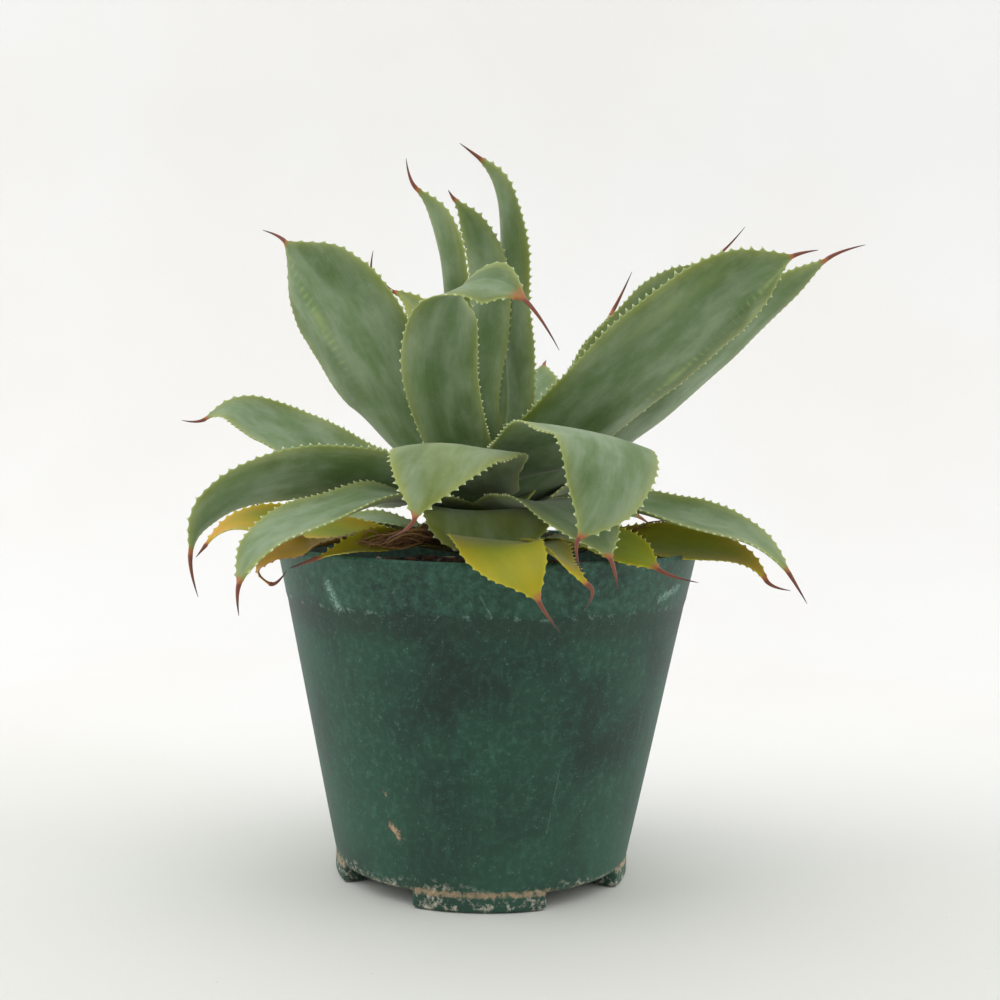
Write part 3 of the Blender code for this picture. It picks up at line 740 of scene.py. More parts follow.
OLD_LEAVES: Tuple[LeafPlan, ...] = (
    LeafPlan(
        "leaf_withered_curl", 214, -5,
        ((-34, -30, 4), (-57, -42, 1.5), (-68, -46, -0.5), (-74, -47, -6), (-70, -46, -11)),
        (-65, -46, -6.5),
        ((0, 0.2, 1), (-0.3, -0.3, 0.9), (-0.9, -0.4, 0.3), (-0.5, -0.5, -0.6)),
        5.0, thick=1.6, cup=(20, 35, 45), widths=(0.7, 0.7, 0.8, 0.9, 1.0, 1.0, 0.9, 0.75, 0.5, 0.0),
        ripeness=Ripeness.WITHERED, tooth=0.8, age=(0.95, 0.25),
    ),
    LeafPlan(
        "leaf_withered_rim", 232, -6,
        ((-23, -40, 3), (-40, -56, 3), (-53, -64, -0.5)),
        (-61, -67, -3.5),
        ((0, 0, 1), (-0.1, -0.7, 0.7), (-0.4, -0.8, 0.4)),
        5.5, thick=1.6, cup=(25, 35, 40, 30), widths=(0.6, 0.6, 0.7, 0.85, 1.0, 1.0, 1.0, 0.9, 0.6, 0.0),
        ripeness=Ripeness.YELLOWING, wave=1.0, age=(0.35, 0.25),
    ),
    LeafPlan(
        "leaf_yellow_left", 190, -4,
        ((-45, -10, 3), (-69, -14, 5.5), (-87, -18, 6.5), (-97, -20, -1)),
        (-100, -21, -5),
        ((0, 0, 1), (-0.2, -0.6, 0.8), (-0.8, -0.5, 0.4)),
        9.0, thick=2.0, cup=(20, 30, 40, 20), widths=(0.4, 0.4, 0.45, 0.6, 0.8, 0.95, 1.0, 0.92, 0.6, 0.0),
        ripeness=Ripeness.YELLOWING, age=(0.5, 0.45),
    ),
    LeafPlan(
        "leaf_hidden_left", 166, -3,
        ((-40, 12, 6), (-62, 18, 5), (-78, 22, 7)),
        (-90, 24, 13),
        ((0, 0, 1), (0, -0.2, 1), (0, -0.3, 1)),
        7.0, thick=2.0,
    ),
    LeafPlan(
        "leaf_yellow_front", 281, -5,
        ((2, -45, 4), (5, -72, 4.5), (11.5, -84, -1.5), (16.5, -87, -10)),
        (23, -88, -19),
        ((0, 0.3, 1), (0.1, -0.4, 0.9), (0.15, -1, 0.1)),
        15.0, thick=2.4, cup=(30, 20, 8, 5, 12), widths=(0.5, 0.55, 0.65, 0.8, 0.95, 1.0, 0.98, 0.85, 0.6, 0.0),
        ripeness=Ripeness.YELLOWING, age=(0.5, 0.06), tooth=0.6,
    ),
    LeafPlan(
        "leaf_yellow_hook", 298, -8,
        ((17, -50, 3.5), (24, -76, 1), (31, -84, -5)),
        (30, -87, -12),
        ((0, 0.2, 1), (0, -0.3, 1), (0.7, -0.7, 0.2)),
        7.5, thick=2.0, widths=(0.6, 0.6, 0.7, 0.85, 1.0, 1.0, 1.0, 0.85, 0.55, 0.0),
        ripeness=Ripeness.YELLOWING, hook=(2, 0, 0), age=(0.4, 0.2),
    ),
    LeafPlan(
        "leaf_yellow_low_right", 318, -6,
        ((29, -42, 6), (45, -60, 3), (54, -69, -1.5)),
        (66, -72, -5),
        ((0, 0, 1), (0.2, -0.5, 0.9), (0.3, -0.9, 0.4)),
        9.5, thick=2.0, cup=(20, 30, 25, 15), widths=(0.6, 0.65, 0.75, 0.85, 0.9, 0.95, 1.0, 0.95, 0.65, 0.0),
        ripeness=Ripeness.YELLOWING, age=(0.05, 0.0),
    ),
    LeafPlan(
        "leaf_yellow_right", 338, -5,
        ((39, -18, 2), (69, -28, 2), (86, -33, -0.5), (94, -35, -8)),
        (102, -36, -11),
        ((0, 0, 1), (0.1, -0.5, 0.85), (0.5, -0.7, 0.5)),
        10.0, thick=2.2, widths=(0.5, 0.45, 0.5, 0.6, 0.8, 1.0, 1.0, 0.85, 0.5, 0.0),
        ripeness=Ripeness.YELLOWING, age=(0.3, 0.3),
    ),
    LeafPlan(
        "husk_front", 256, -6,
        ((-14, -33, 4), (-24, -48, 5.5), (-35, -54, 4)),
        (-41, -55, 1),
        ((0, 0, 1), (0.2, 0.2, 1), (0.4, 0.2, 1)),
        5.0, thick=1.2, cup=(60, 80, 60), ripeness=Ripeness.WITHERED, wave=2.2, fibres=220,
    ),
    LeafPlan(
        "husk_right", 2, -6,
        ((32, -8, 1), (52, -14, 5), (63, -17, 9)),
        (67, -18, 11),
        ((0, 0, 1), (0.1, -0.3, 1), (0.2, -0.5, 1)),
        4.5, thick=1.4, cup=(40, 60, 70), ripeness=Ripeness.WITHERED, wave=1.6, fibres=60,
    ),
)

OUTER_LEAVES: Tuple[LeafPlan, ...] = (
    LeafPlan(
        "leaf_under_right", 298, 8,
        ((17, -44, 16.5), (30, -68, 12.5), (38, -82, 2.5)),
        (40, -86, -7),
        ((0, 0.3, 1), (0.2, -0.3, 1), (0.3, -0.9, 0.3)),
        13.0, cup=(30, 35, 15, 10), widths=(0.9, 0.85, 0.85, 0.88, 0.92, 0.98, 1.0, 0.92, 0.65, 0.0),
    ),
    LeafPlan(
        "leaf_under_front", 268, 5,
        ((0, -28, 12), (1, -42, 12.5), (2, -52, 7), (3, -58, -1)),
        (3.5, -59, -6),
        ((0, 0.3, 1), (0, -0.3, 1), (0, -1, 0.3)),
        22.0, cup=(30, 22, 10, -4), widths=(1.0, 1.0, 1.0, 1.0, 1.0, 1.0, 1.0, 0.92, 0.7, 0.0),
        age=(0.3, 0.0), rubbed=1.0,
    ),
    LeafPlan(
        "leaf_low_left", 226, 6,
        ((-31, -37, 17.5), (-50, -60, 13), (-67, -76, 5), (-73.5, -84, -7)),
        (-73, -86, -16),
        ((0, 0, 1), (-0.2, -0.4, 0.9), (-0.6, -0.7, 0.4)),
        12.5, cup=(25, 35, 30, 15), widths=(1.0, 1.0, 0.98, 0.96, 0.96, 0.98, 1.0, 0.96, 0.7, 0.0),
    ),
    LeafPlan(
        "leaf_low_right", 342, 8,
        ((39, -20, 17), (65, -30, 12.5), (89, -35, 6), (101, -37, -5)),
        (107, -39, -15),
        ((0, 0, 1), (0.1, -0.45, 0.9), (0.7, -0.5, 0.5)),
        10.5, cup=(20, 40, 35, 15), widths=(0.75, 0.7, 0.75, 0.8, 0.85, 0.92, 1.0, 0.95, 0.65, 0.0),
    ),
    LeafPlan(
        "leaf_arched_left", 206, 14,
        ((-37, -24, 22.5), (-59, -38, 23.5), (-78, -48, 19.5), (-90, -54, 11), (-94, -57, -1)),
        (-91, -59, -14),
        ((0, 0.4, 0.9), (-0.1, 0.7, 0.7), (-0.5, 0.6, 0.6), (-0.95, 0.2, 0.2)),
        12.5, cup=(20, 35, 30, 20), widths=(0.85, 0.8, 0.85, 0.92, 1.0, 1.0, 0.92, 0.82, 0.6, 0.0),
    ),
    LeafPlan(
        "leaf_bent_front", 262, 17,
        ((-3, -32, 26), (-8, -54, 34), (-13, -67, 35), (-17.5, -79, 27), (-21, -86, 14)),
        (-29, -88, 8),
        ((0.1, 0.4, 1), (-0.1, 0.1, 1), (-0.15, -0.5, 0.9), (-0.1, -1, 0.25)),
        19.5, cup=(35, 25, 5, -18, -14, 0), widths=(0.62, 0.62, 0.66, 0.8, 0.95, 1.0, 0.98, 0.8, 0.48, 0.0),
        age=(0.12, 0.0),
    ),
    LeafPlan(
        "leaf_bent_right", 300, 22,
        ((18, -36, 32), (31, -58, 40), (37, -72, 36), (35, -81, 22), (28, -85, 9)),
        (29, -86, -1),
        ((-0.2, 0.3, 1), (0.3, 0.0, 0.95), (0.45, -0.6, 0.7), (0.3, -0.95, 0.2)),
        21.5, cup=(30, 20, 5, -8, -5, 5), widths=(0.6, 0.62, 0.68, 0.82, 0.96, 1.0, 0.95, 0.78, 0.5, 0.0),
        wave=1.1,
    ),
    LeafPlan(
        "leaf_reaching_left", 152, 13,
        ((-33, 25, 19), (-60, 38, 27), (-84, 46, 38.5), (-101, 48, 46), (-112, 48, 42.5)),
        (-121, 48, 42),
        ((0, 0, 1), (-0.1, -0.5, 0.85), (-0.2, -0.5, 0.85), (-0.1, -0.7, 0.7)),
        14.5, cup=(20, 40, 50, 40, 10), widths=(0.8, 0.75, 0.75, 0.82, 0.92, 1.0, 1.0, 0.9, 0.6, 0.0),
    ),
)

BACK_LEAVES: Tuple[LeafPlan, ...] = tuple(
    LeafPlan(
        f"leaf_back_{place}", bearing, height, course, spine, ((0, 0, 1), (0, swing, 1), (0, *end)), half_width,
        widths=(1.0, 1.0, 1.0, 1.0, 1.0, 1.0, 0.94, 0.78, 0.48, 0.0),
    )
    for place, bearing, height, course, spine, half_width, swing, end in (
        (1, 30, 0, ((23, 20, 16), (45, 42, 13), (60, 56, 7)), (66, 61, 3), 13.5, 0.3, (0.9, 0.4)),
        (2, 62, 13, ((22, 44, 26), (33, 72, 24), (38, 94, 12)), (41, 100, 5), 14.0, 0.3, (0.9, 0.4)),
        (3, 86, 3, ((2, 38, 19), (4, 66, 12), (6, 88, 5)), (7, 96, 0), 14.5, 0.2, (0.8, 0.5)),
        (4, 112, 11, ((-11, 38, 26), (-20, 66, 24), (-27, 90, 15)), (-30, 97, 8), 14.0, 0.3, (0.9, 0.4)),
        (5, 136, 3, ((-18, 28, 18), (-37, 50, 14), (-50, 66, 9)), (-55, 72, 5), 13.5, 0.3, (0.9, 0.4)),
    )
)

INNER_LEAVES: Tuple[LeafPlan, ...] = (
    LeafPlan(
        "leaf_long_right", 354, 17,
        ((32, 0, 32), (62, -6, 55), (88, -12, 79), (107, -14, 95), (116, -14, 102)),
        (129, -14, 107),
        ((-0.3, 0.6, 0.7), (-0.4, 0.7, 0.6), (-0.4, 0.8, 0.6)),
        17.0, widths=(0.9, 0.98, 1.05, 1.03, 1.0, 0.95, 0.84, 0.66, 0.38, 0.0),
    ),
    LeafPlan(
        "leaf_tall_left", 200, 22,
        ((-24, -14, 32), (-36.5, -23, 51), (-51, -28, 77), (-70, -24, 103)),
        (-78, -22, 107),
        ((0.7, 0.5, 0.6), (0.4, 0.85, 0.4), (0.2, 0.85, 0.4)),
        18.5, cup=(25, 40, 35, 30, 25), widths=(0.75, 0.8, 0.9, 1.0, 1.1, 1.16, 1.16, 1.06, 0.78, 0.0),
        print_at=-0.42, rubbed=0.7,
    ),
    LeafPlan(
        "leaf_broad_right", 338, 25,
        ((25, -18, 38), (52, -32, 63), (75, -42, 84), (89, -44, 94), (98, -44, 99)),
        (106, -44, 101),
        ((-0.3, 0.7, 0.6), (-0.35, 0.9, 0.4), (-0.2, 0.95, 0.4)),
        17.5, cup=(20, 30, 30, 25, 15), widths=(0.8, 0.82, 0.9, 0.98, 1.03, 1.05, 1.02, 0.92, 0.66, 0.0),
        rubbed=0.8, tooth=1.2, print_at=0.72, streak=(0.5, 0.88, -0.62),
    ),
    LeafPlan(
        "leaf_hooked_front", 248, 27,
        ((-10, -28, 36), (-16, -38, 58), (-15, -42, 75), (-12, -45, 84.5), (0, -50, 87.5), (11, -56, 82)),
        (22, -62, 66),
        (
            (0, 1, 0.2), (0, 1, 0.2), (0, 1, 0.1), (0, 1, 0.1), (-0.1, 1, 0.1), (-0.2, 0.8, 0.7),
            (-0.1, -0.1, 1), (-0.1, -0.9, 0.5), (0.1, -1, 0.3),
        ),
        13.0, cup=(20, 25, 25, 15, 5, 10), widths=(0.7, 0.74, 0.82, 0.9, 0.97, 1.0, 0.92, 0.54, 0.72, 0.0),
        rubbed=0.8, tooth=0.7,
    ),
    LeafPlan(
        "leaf_upright_right", 14, 30,
        ((28, 16, 45), (48, 24, 71), (67, 28, 94), (81, 30, 105)),
        (95, 32, 119),
        ((-0.3, 0.6, 0.7), (-0.5, 0.6, 0.6), (-0.5, 0.6, 0.6)),
        14.5, widths=(0.75, 0.75, 0.85, 0.95, 1.0, 1.0, 0.95, 0.85, 0.55, 0.0),
    ),
    LeafPlan(
        "leaf_upright_back", 46, 25,
        ((21, 26, 41), (35, 38, 66), (47, 44, 88)),
        (54, 46, 103),
        ((-0.3, 0.3, 0.8), (-0.6, 0.3, 0.7), (-0.6, 0.3, 0.7)),
        9.5,
    ),
    LeafPlan(
        "leaf_narrow_left", 164, 30,
        ((-14, 14, 37), (-27, 20, 62), (-38, 25, 81), (-45, 28, 95)),
        (-45, 28, 107),
        ((0.5, 0.2, 0.8), (0.7, 0.3, 0.6), (0.7, 0.3, 0.6)),
        7.0,
    ),
    LeafPlan(
        "leaf_upright_left", 128, 27,
        ((-9, 24, 40), (-20, 42, 71), (-30, 50, 88), (-39, 52, 94)),
        (-43, 52, 98),
        ((0.2, -0.5, 0.8), (0.1, -0.8, 0.5), (0.1, -0.8, 0.5)),
        11.0, age=(0.3, 0.0),
    ),
    LeafPlan(
        "leaf_short_back", 66, 29,
        ((13, 34, 41), (18, 52, 57), (21, 62, 67)),
        (22, 66, 69),
        ((-0.2, -0.6, 0.7), (-0.2, -0.6, 0.8), (-0.1, -0.6, 0.8)),
        10.0, widths=(0.7, 0.75, 0.85, 0.95, 1.0, 1.0, 1.0, 0.95, 0.75, 0.0),
    ),
    LeafPlan(
        "leaf_heart_left", 218, 33,
        ((-9, -12, 47), (-13.5, -16, 89), (-16, -17, 104), (-20, -17, 115), (-26.5, -17, 123)),
        (-30, -17, 133),
        ((0.6, 0.75, 0.1), (0.6, 0.75, 0.1)),
        6.5, cup=(40, 50, 55, 55, 40), widths=(0.8, 0.8, 0.85, 0.9, 0.95, 1.0, 1.0, 0.95, 0.7, 0.0),
    ),
    LeafPlan(
        "leaf_heart_middle", 268, 36,
        ((-4, -8, 50), (-2, -4, 76), (-2, -2, 97), (-7, -2, 112), (-14, -2, 122)),
        (-16, -2, 125),
        ((0.2, 1, 0.1), (0.2, 1, 0.1)),
        8.8, cup=(45, 50, 50, 45, 35), widths=(0.8, 0.85, 0.9, 0.95, 1.0, 1.0, 0.95, 0.8, 0.55, 0.0),
        tooth=1.1,
    ),
    LeafPlan(
        "leaf_heart_tall", 326, 35,
        ((9, -4, 44), (6.5, 2, 87), (5, 0, 113), (1.5, -4, 128), (-5, -6, 135.5)),
        (-12, -9, 140),
        ((0.75, 0.65, 0.1), (0.75, 0.65, 0.1)),
        8.2, cup=(40, 55, 55, 50, 35), widths=(0.85, 0.9, 0.95, 1.0, 1.0, 1.0, 0.98, 0.85, 0.6, 0.0),
    ),
    LeafPlan(
        "leaf_spear", 80, 36,
        ((2, 8, 48), (3, 11, 70), (3, 12, 91)),
        (3, 12, 97),
        ((0, 1, 0.1), (0, 1, 0.1)),
        7.0, cup=(60, 70, 70, 60),
    ),
)


@dataclass
class Rosette:
    """All the leaves, each dressed in the finish of its age."""

    axis: Vector
    plans: Tuple[LeafPlan, ...]

    def build(self) -> List[bpy.types.Object]:
        """Builds every leaf and puts it in its CAD node's place.

        Returns:
            The leaves.
        """
        finishes = {f.ripeness: f.material() for f in (GREEN_LEAF, YELLOW_LEAF, DRY_LEAF)}
        made = []
        for number, plan in enumerate(self.plans):
            sheet = Leaf(plan, self.axis, number).surface()
            if plan.fibres:
                sheet = sheet.with_other(Fibres(plan, self.axis, number).surface())
            piece = mesh_piece(f"{plan.node}_looks", sheet, finishes[plan.ripeness])
            made.append(place_piece(piece, plan.node))
        return made


@dataclass
class Fibres:
    """The loose fibres of a rotted leaf base: thin crooked strands that wander about the husk's own line."""

    plan: LeafPlan
    axis: Vector
    number: int
    reach: float = 4.5
    steps: int = 14
    sides: int = 5

    def surface(self) -> Sheet:
        """Tubes round crooked lines: each line is the husk's course, shifted aside and bent by three sine waves.

        Returns:
            The closed tubes as one surface.
        """
        rng = np.random.default_rng(500 + self.number)
        count, steps, sides = self.plan.fibres, self.steps, self.sides
        turn = math.radians(self.plan.bearing)
        seat = (12 * math.cos(turn), 12 * math.sin(turn), self.plan.height + 4)
        knots = np.array([seat, *self.plan.course, self.plan.spine], float)
        starts = rng.uniform(0.1, 0.75, count)
        lengths = np.minimum(rng.uniform(0.12, 0.4, count), 0.97 - starts)
        shares = starts[:, None] + lengths[:, None] * np.linspace(0, 1, steps)
        lines = smooth_course(knots, shares.ravel()).reshape(count, steps, 3)
        lines = lines + self.reach * rng.normal(0, 0.55, (count, 1, 3)) * (1.0, 1.0, 0.45)
        swing, rate, phase = (rng.uniform(a, b, (count, 1, 3)) for a, b in ((0.4, 1.6), (2, 9), (0, math.tau)))
        lines = lines + swing * np.sin(rate * np.linspace(0, 1, steps)[None, :, None] + phase)
        lines[..., 2] = np.maximum(lines[..., 2], -9.0)
        along = unit(np.gradient(lines, axis=1))
        side = unit(np.cross(along, rng.normal(0, 1, (count, 1, 3))))
        over = np.cross(along, side)
        thick = rng.uniform(0.12, 0.42, (count, 1)) * np.sin(np.linspace(0.25, math.pi - 0.12, steps))[None, :] ** 0.6
        around = np.linspace(0, math.tau, sides, endpoint=False)
        ring = np.cos(around)[:, None] * side[:, :, None] + np.sin(around)[:, None] * over[:, :, None]
        points = (lines[:, :, None] + thick[:, :, None, None] * ring).reshape(-1, 3)
        quads = grid_quads(steps, sides)
        faces = (quads[None] + steps * sides * np.arange(count)[:, None, None]).reshape(-1, 4)
        cap = np.stack([np.arange(sides)[::-1], np.arange(sides) + (steps - 1) * sides])
        caps = (cap[None] + steps * sides * np.arange(count)[:, None, None]).reshape(-1, sides)
        spread = np.ones((1, steps * sides))
        tone = rng.uniform(-1.0, 1.0, (count, 1)) * spread
        grain = np.stack([tone.ravel() * 40, points[:, 0], points[:, 1]], -1)
        none = np.zeros(len(points))
        marks = np.stack([none, none - 2, (rng.random((count, 1)) * spread).ravel()], -1)
        tint = np.stack([none, none, (rng.random((count, 1)) * spread).ravel()], -1)
        return Sheet(points * MM + np.array(self.axis), [faces, caps], {"grain": grain, "marks": marks, "tint": tint})


# ---------------------------------------------------------------- pot


@dataclass(frozen=True)
class Scuff:
    """A mark on the pot's wall, from one place to another, each a bearing in degrees and a height in millimetres."""

    start: Tuple[float, float]
    end: Tuple[float, float]
    width: float
    strength: float = 1.0


@dataclass(frozen=True)
class PotFinish:
    """Old matte green plastic: mottled, scuffed pale, chipped to tan, crusted with lime along its foot, and darkened
    under its collar by painted shade.
    """

    green: Triple = colour(32, 74, 58)
    deep: Triple = colour(22, 48, 38)
    worn: Triple = colour(68, 112, 94)
    mint: Triple = colour(146, 180, 166)
    tan: Triple = colour(184, 160, 128)
    lime: Triple = colour(208, 204, 186)
    # Soot colour: dark dirt streaks down the wall, and also the painted shade under the collar.
    soot_and_shade: Triple = colour(36, 40, 34)
    scuffs: Tuple[Scuff, ...] = (
        Scuff((-134.0, 107.0), (-131.0, 100.0), 2.6, 0.9),
        Scuff((-130.0, 98.0), (-124.0, 60.0), 0.35, 0.6),
        Scuff((-27.0, 106.0), (-37.0, 103.5), 1.8, 0.8),
        Scuff((-91.0, 106.5), (-88.0, 100.0), 0.5, 0.6),
        Scuff((-93.5, 105.0), (-92.0, 99.5), 0.4, 0.5),
        Scuff((-104.0, 79.0), (-99.0, 85.5), 0.35, 0.5),
        Scuff((-99.0, 85.5), (-94.0, 77.0), 0.35, 0.45),
        Scuff((-65.0, 54.0), (-67.5, 27.0), 0.35, 0.6),
        Scuff((40.0, 92.0), (52.0, 61.0), 0.5, 0.6),
        Scuff((75.0, 108.0), (88.0, 106.0), 2.2, 0.7),
        Scuff((150.0, 80.0), (163.0, 42.0), 0.4, 0.6),
        Scuff((196.0, 60.0), (199.0, 35.0), 0.6, 0.6),
    )
    chips: Tuple[Scuff, ...] = (
        Scuff((-121.0, 27.5), (-118.5, 23.0), 1.7),
        Scuff((-122.5, 39.5), (-122.0, 37.5), 0.9),
        Scuff((60.0, 30.0), (62.0, 28.0), 1.4),
        Scuff((171.0, 15.0), (174.0, 13.0), 1.5),
    )


@dataclass
class NurseryPot:
    """The tapered pot: one turned wall with a collar under its rim, a floor with a drain hole, and four feet."""

    low: Vector
    high: Vector
    rim_radius: float = 75.0 * MM
    base_radius: float = 52.0 * MM
    wall: float = 2.6 * MM
    floor: float = 3.0 * MM
    collar: float = 18.0 * MM
    collar_step: float = 0.18 * MM
    drain_radius: float = 10.0 * MM
    foot_height: float = 5.3 * MM
    foot_depth: float = 9.0 * MM
    foot_spans: Tuple[Tuple[float, float], ...] = ((270.0, 50.0), (0.0, 54.0), (90.0, 50.0), (180.0, 54.0))
    around: int = 320
    look: PotFinish = PotFinish()

    @property
    def axis(self) -> Vector:
        """The pot's axis at floor level."""
        return Vector(((self.low.x + self.high.x) / 2, (self.low.y + self.high.y) / 2, self.low.z))

    @property
    def height(self) -> float:
        """From the floor to the rim."""
        return self.high.z - self.low.z

    def outer(self, z: Array) -> Array:
        """The body's outer radius at a height, on its straight taper."""
        share = (z - self.foot_height) / (self.height - self.foot_height)
        return self.base_radius + (self.rim_radius - self.collar_step - self.base_radius) * share

    def inner(self, z: Array) -> Array:
        """The wall's inner radius at a height."""
        return self.outer(z) + self.collar_step - self.wall

    def profile(self) -> Array:
        """The wall's outline as (radius, height), closed: up the outside, over the lip, down the inside and under.

        The outside is the taper plus the collar, which stands out by its step with a soft shoulder and a shallow
        groove under it. The lip is a half round.

        Returns:
            The outline's points.
        """
        top, foot = self.height, self.foot_height
        z = np.linspace(foot + 1.6 * MM, top - 1.3 * MM, 96)
        over = z - (top - self.collar)
        shoulder = smoothstep(-3.0 * MM, 3.0 * MM, over)
        groove = 0.08 * MM * np.exp(-(((over + 2.2 * MM) / (0.8 * MM)) ** 2))
        bead = 0.10 * MM * np.exp(-(((over - 0.4 * MM) / (0.8 * MM)) ** 2))
        outside = np.stack([self.outer(z) + self.collar_step * shoulder - groove + bead, z], 1)
        lip_turn = np.linspace(0, math.pi, 13)[1:-1]
        middle = (outside[-1, 0] + self.inner(top)) / 2
        half = (outside[-1, 0] - self.inner(top)) / 2
        lip = np.stack([middle + half * np.cos(lip_turn), top - 1.3 * MM + 1.3 * MM * np.sin(lip_turn)], 1)
        down = np.linspace(top - 1.3 * MM, foot + self.floor + 1.0 * MM, 30)
        inside = np.stack([self.inner(down), down], 1)
        reach = np.linspace(self.inner(foot + self.floor) - 1.0 * MM, self.drain_radius + 0.5 * MM, 14)
        floor_top = np.stack([reach, np.full(14, foot + self.floor)], 1)
        hole = np.array([[self.drain_radius, foot + self.floor - 0.5 * MM], [self.drain_radius, foot + 0.5 * MM]])
        under = np.stack([reach[::-1], np.full(14, foot)], 1)
        heel_turn = np.linspace(-math.pi / 2, 0, 9)
        heel_at = self.outer(foot + 1.6 * MM) - 1.6 * MM
        heel = np.stack([heel_at + 1.6 * MM * np.cos(heel_turn), foot + 1.6 * MM + 1.6 * MM * np.sin(heel_turn)], 1)
        return np.concatenate([outside, lip, inside, floor_top, hole, under, heel[:-1]])

    def wall_surface(self) -> Sheet:
        """The turned wall, with the slight dents and waves of an old soft moulding.

        The radius at a height and bearing is the outline's plus a few tenths of a millimetre of low sine waves.

        Returns:
            The closed surface.
        """
        rng = np.random.default_rng(7)
        outline = self.profile()
        bearing = np.linspace(0, math.tau, self.around, endpoint=False)
        z = outline[:, 1][:, None] + 0 * bearing[None, :]
        swell = 0.12 * np.sin(3 * bearing + 0.6) + 0.10 * np.sin(5 * bearing + 24 * z / self.height * 0.2 + 2.0)
        phase = rng.uniform(0, math.tau, 6)
        dents = sum(np.sin((k + 5) * bearing + phase[k] + (k - 2) * 3.0 * z / self.height) for k in range(6)) / 6
        radius = outline[:, 0][:, None] + MM * (swell + 0.16 * dents) * smoothstep(0.03, 0.05, outline[:, 0])[:, None]
        lip = smoothstep(self.height - 6 * MM, self.height, z)
        z = z + lip * 0.22 * MM * np.sin(2 * bearing + 1.0) * np.cos(3 * bearing)
        points = np.stack([radius * np.cos(bearing), radius * np.sin(bearing), z], -1).reshape(-1, 3)
        return Sheet(points + np.array(self.axis), [grid_quads(len(outline), self.around, rows_close=True)])

    def foot_surface(self, bearing: float, span: float) -> Sheet:
        """One foot: a rounded rectangle carried along an arc, with its ends drawn in to rounded corners.

        Args:
            bearing: the middle of the foot, in degrees.
            span: how far it reaches round, in degrees.

        Returns:
            The closed surface.
        """
        rows, corners = 60, 36
        along = np.linspace(-1, 1, rows)
        turn = np.radians(bearing + 0.5 * span * along)
        around = np.linspace(0, math.tau, corners, endpoint=False)
        power = 0.28
        box_r = np.sign(np.cos(around)) * np.abs(np.cos(around)) ** power
        box_z = np.sign(np.sin(around)) * np.abs(np.sin(around)) ** power
        ends = np.clip(1 - np.abs(along) ** 40, 0, 1) ** 0.5
        ends = np.maximum(ends, 0.02)[:, None]
        depth, rise = self.foot_depth / 2, (self.foot_height + 1.5 * MM) / 2
        proud = self.base_radius + 0.6 * MM
        radius = proud - depth + depth * box_r[None, :] * (0.85 + 0.15 * ends)
        radius = radius + 0.15 * MM * np.sin(9 * turn)[:, None]
        z = rise + rise * box_z[None, :] * (0.9 + 0.1 * ends)
        z = np.where(box_z[None, :] < 0, rise + rise * box_z[None, :] * (0.92 + 0.08 * ends), z)
        points = np.stack([radius * np.cos(turn)[:, None], radius * np.sin(turn)[:, None], z], -1)
        return capped_tube(points + np.array(self.axis), flipped=True)

    def wall_point(self, place: Tuple[float, float]) -> Vector:
        """A point on the outer wall from a bearing in degrees and a height in millimetres."""
        turn, z = math.radians(place[0]), place[1] * MM
        radius = float(self.outer(np.array(z)))
        return self.axis + Vector((radius * math.cos(turn), radius * math.sin(turn), z))

    def mark(self, desk: ShaderDesk, scuff: Scuff, fray: Socket) -> Link:
        """The strength of one scuff: its frayed distance from a straight segment, eased over its width.

        Args:
            desk: the material in the making.
            scuff: the mark.
            fray: a number about 0 that roughens the mark's edge, in metres.

        Returns:
            The strength, 0 to 1.
        """
        start, end = self.wall_point(scuff.start), self.wall_point(scuff.end)
        span = end - start
        away = desk.vectors("SUBTRACT", desk.place, start)
        share = desk.vectors("DOT_PRODUCT", away, span / span.length_squared, 1)
        share = desk.maths("ADD", share, 0.0, clamp=True)
        rest = desk.vectors("SUBTRACT", away, desk.vectors("MULTIPLY", share, span))
        distance = desk.maths("ADD", desk.vectors("LENGTH", rest, out=1), fray)
        return desk.ease(distance, scuff.width * MM, 0.1 * scuff.width * MM, 0.0, scuff.strength)

    def material(self) -> bpy.types.Material:
        """Builds the pot's finish from object coordinates.

        Returns:
            The material.
        """
        look = self.look
        desk = ShaderDesk("pot_plastic")
        split = desk.add("ShaderNodeSeparateXYZ")
        desk.feed(split.inputs[0], desk.place)
        height = split.outputs[2]
        top, foot, under = self.height, self.foot_height, self.height - self.collar
        clouds = desk.noise(desk.place, 30.0, 4.0, 0.6)
        mottle = desk.noise(desk.place, 420.0, 6.0, 0.70)
        grain = desk.noise(desk.place, 1400.0, 4.0, 0.7)
        rain = desk.noise(desk.stretched(desk.place, (1.0, 1.0, 0.06)), 380.0, 3.0, 0.6)
        runs = desk.noise(desk.stretched(desk.place, (1.0, 1.0, 0.10)), 120.0, 3.0, 0.55)
        flecks = desk.cells(desk.place, 820.0, rings=True)
        clouds_off, mottle_off, grain_off = (desk.maths("SUBTRACT", value, 0.5) for value in (clouds, mottle, grain))
        fray = desk.times(mottle_off, 8.5 * MM)
        bent = desk.maths("ABSOLUTE", desk.times(clouds_off, 4.0 * MM))
        thin_fray = desk.maths("ADD", desk.times(grain_off, 1.2 * MM), bent)
        rubs: Socket = 0.0
        for scuff in look.scuffs:
            rubs = desk.maths("MAXIMUM", rubs, self.mark(desk, scuff, fray if scuff.width > 1.0 else thin_fray))
        rubs = desk.times(rubs, desk.ease(grain, 0.40, 0.56, 0.05, 1.0))
        chips: Socket = 0.0
        for chip in look.chips:
            chips = desk.maths("MAXIMUM", chips, self.mark(desk, chip, fray))
        low = desk.maths("ADD", height, desk.times(clouds_off, 12.0 * MM))
        crust = desk.times(desk.ease(low, 10.0 * MM, 5.0 * MM), desk.ease(mottle, 0.50, 0.62))
        spread = [desk.maths("ABSOLUTE", desk.maths("SUBTRACT", split.outputs[i], self.axis[i])) for i in (0, 1)]
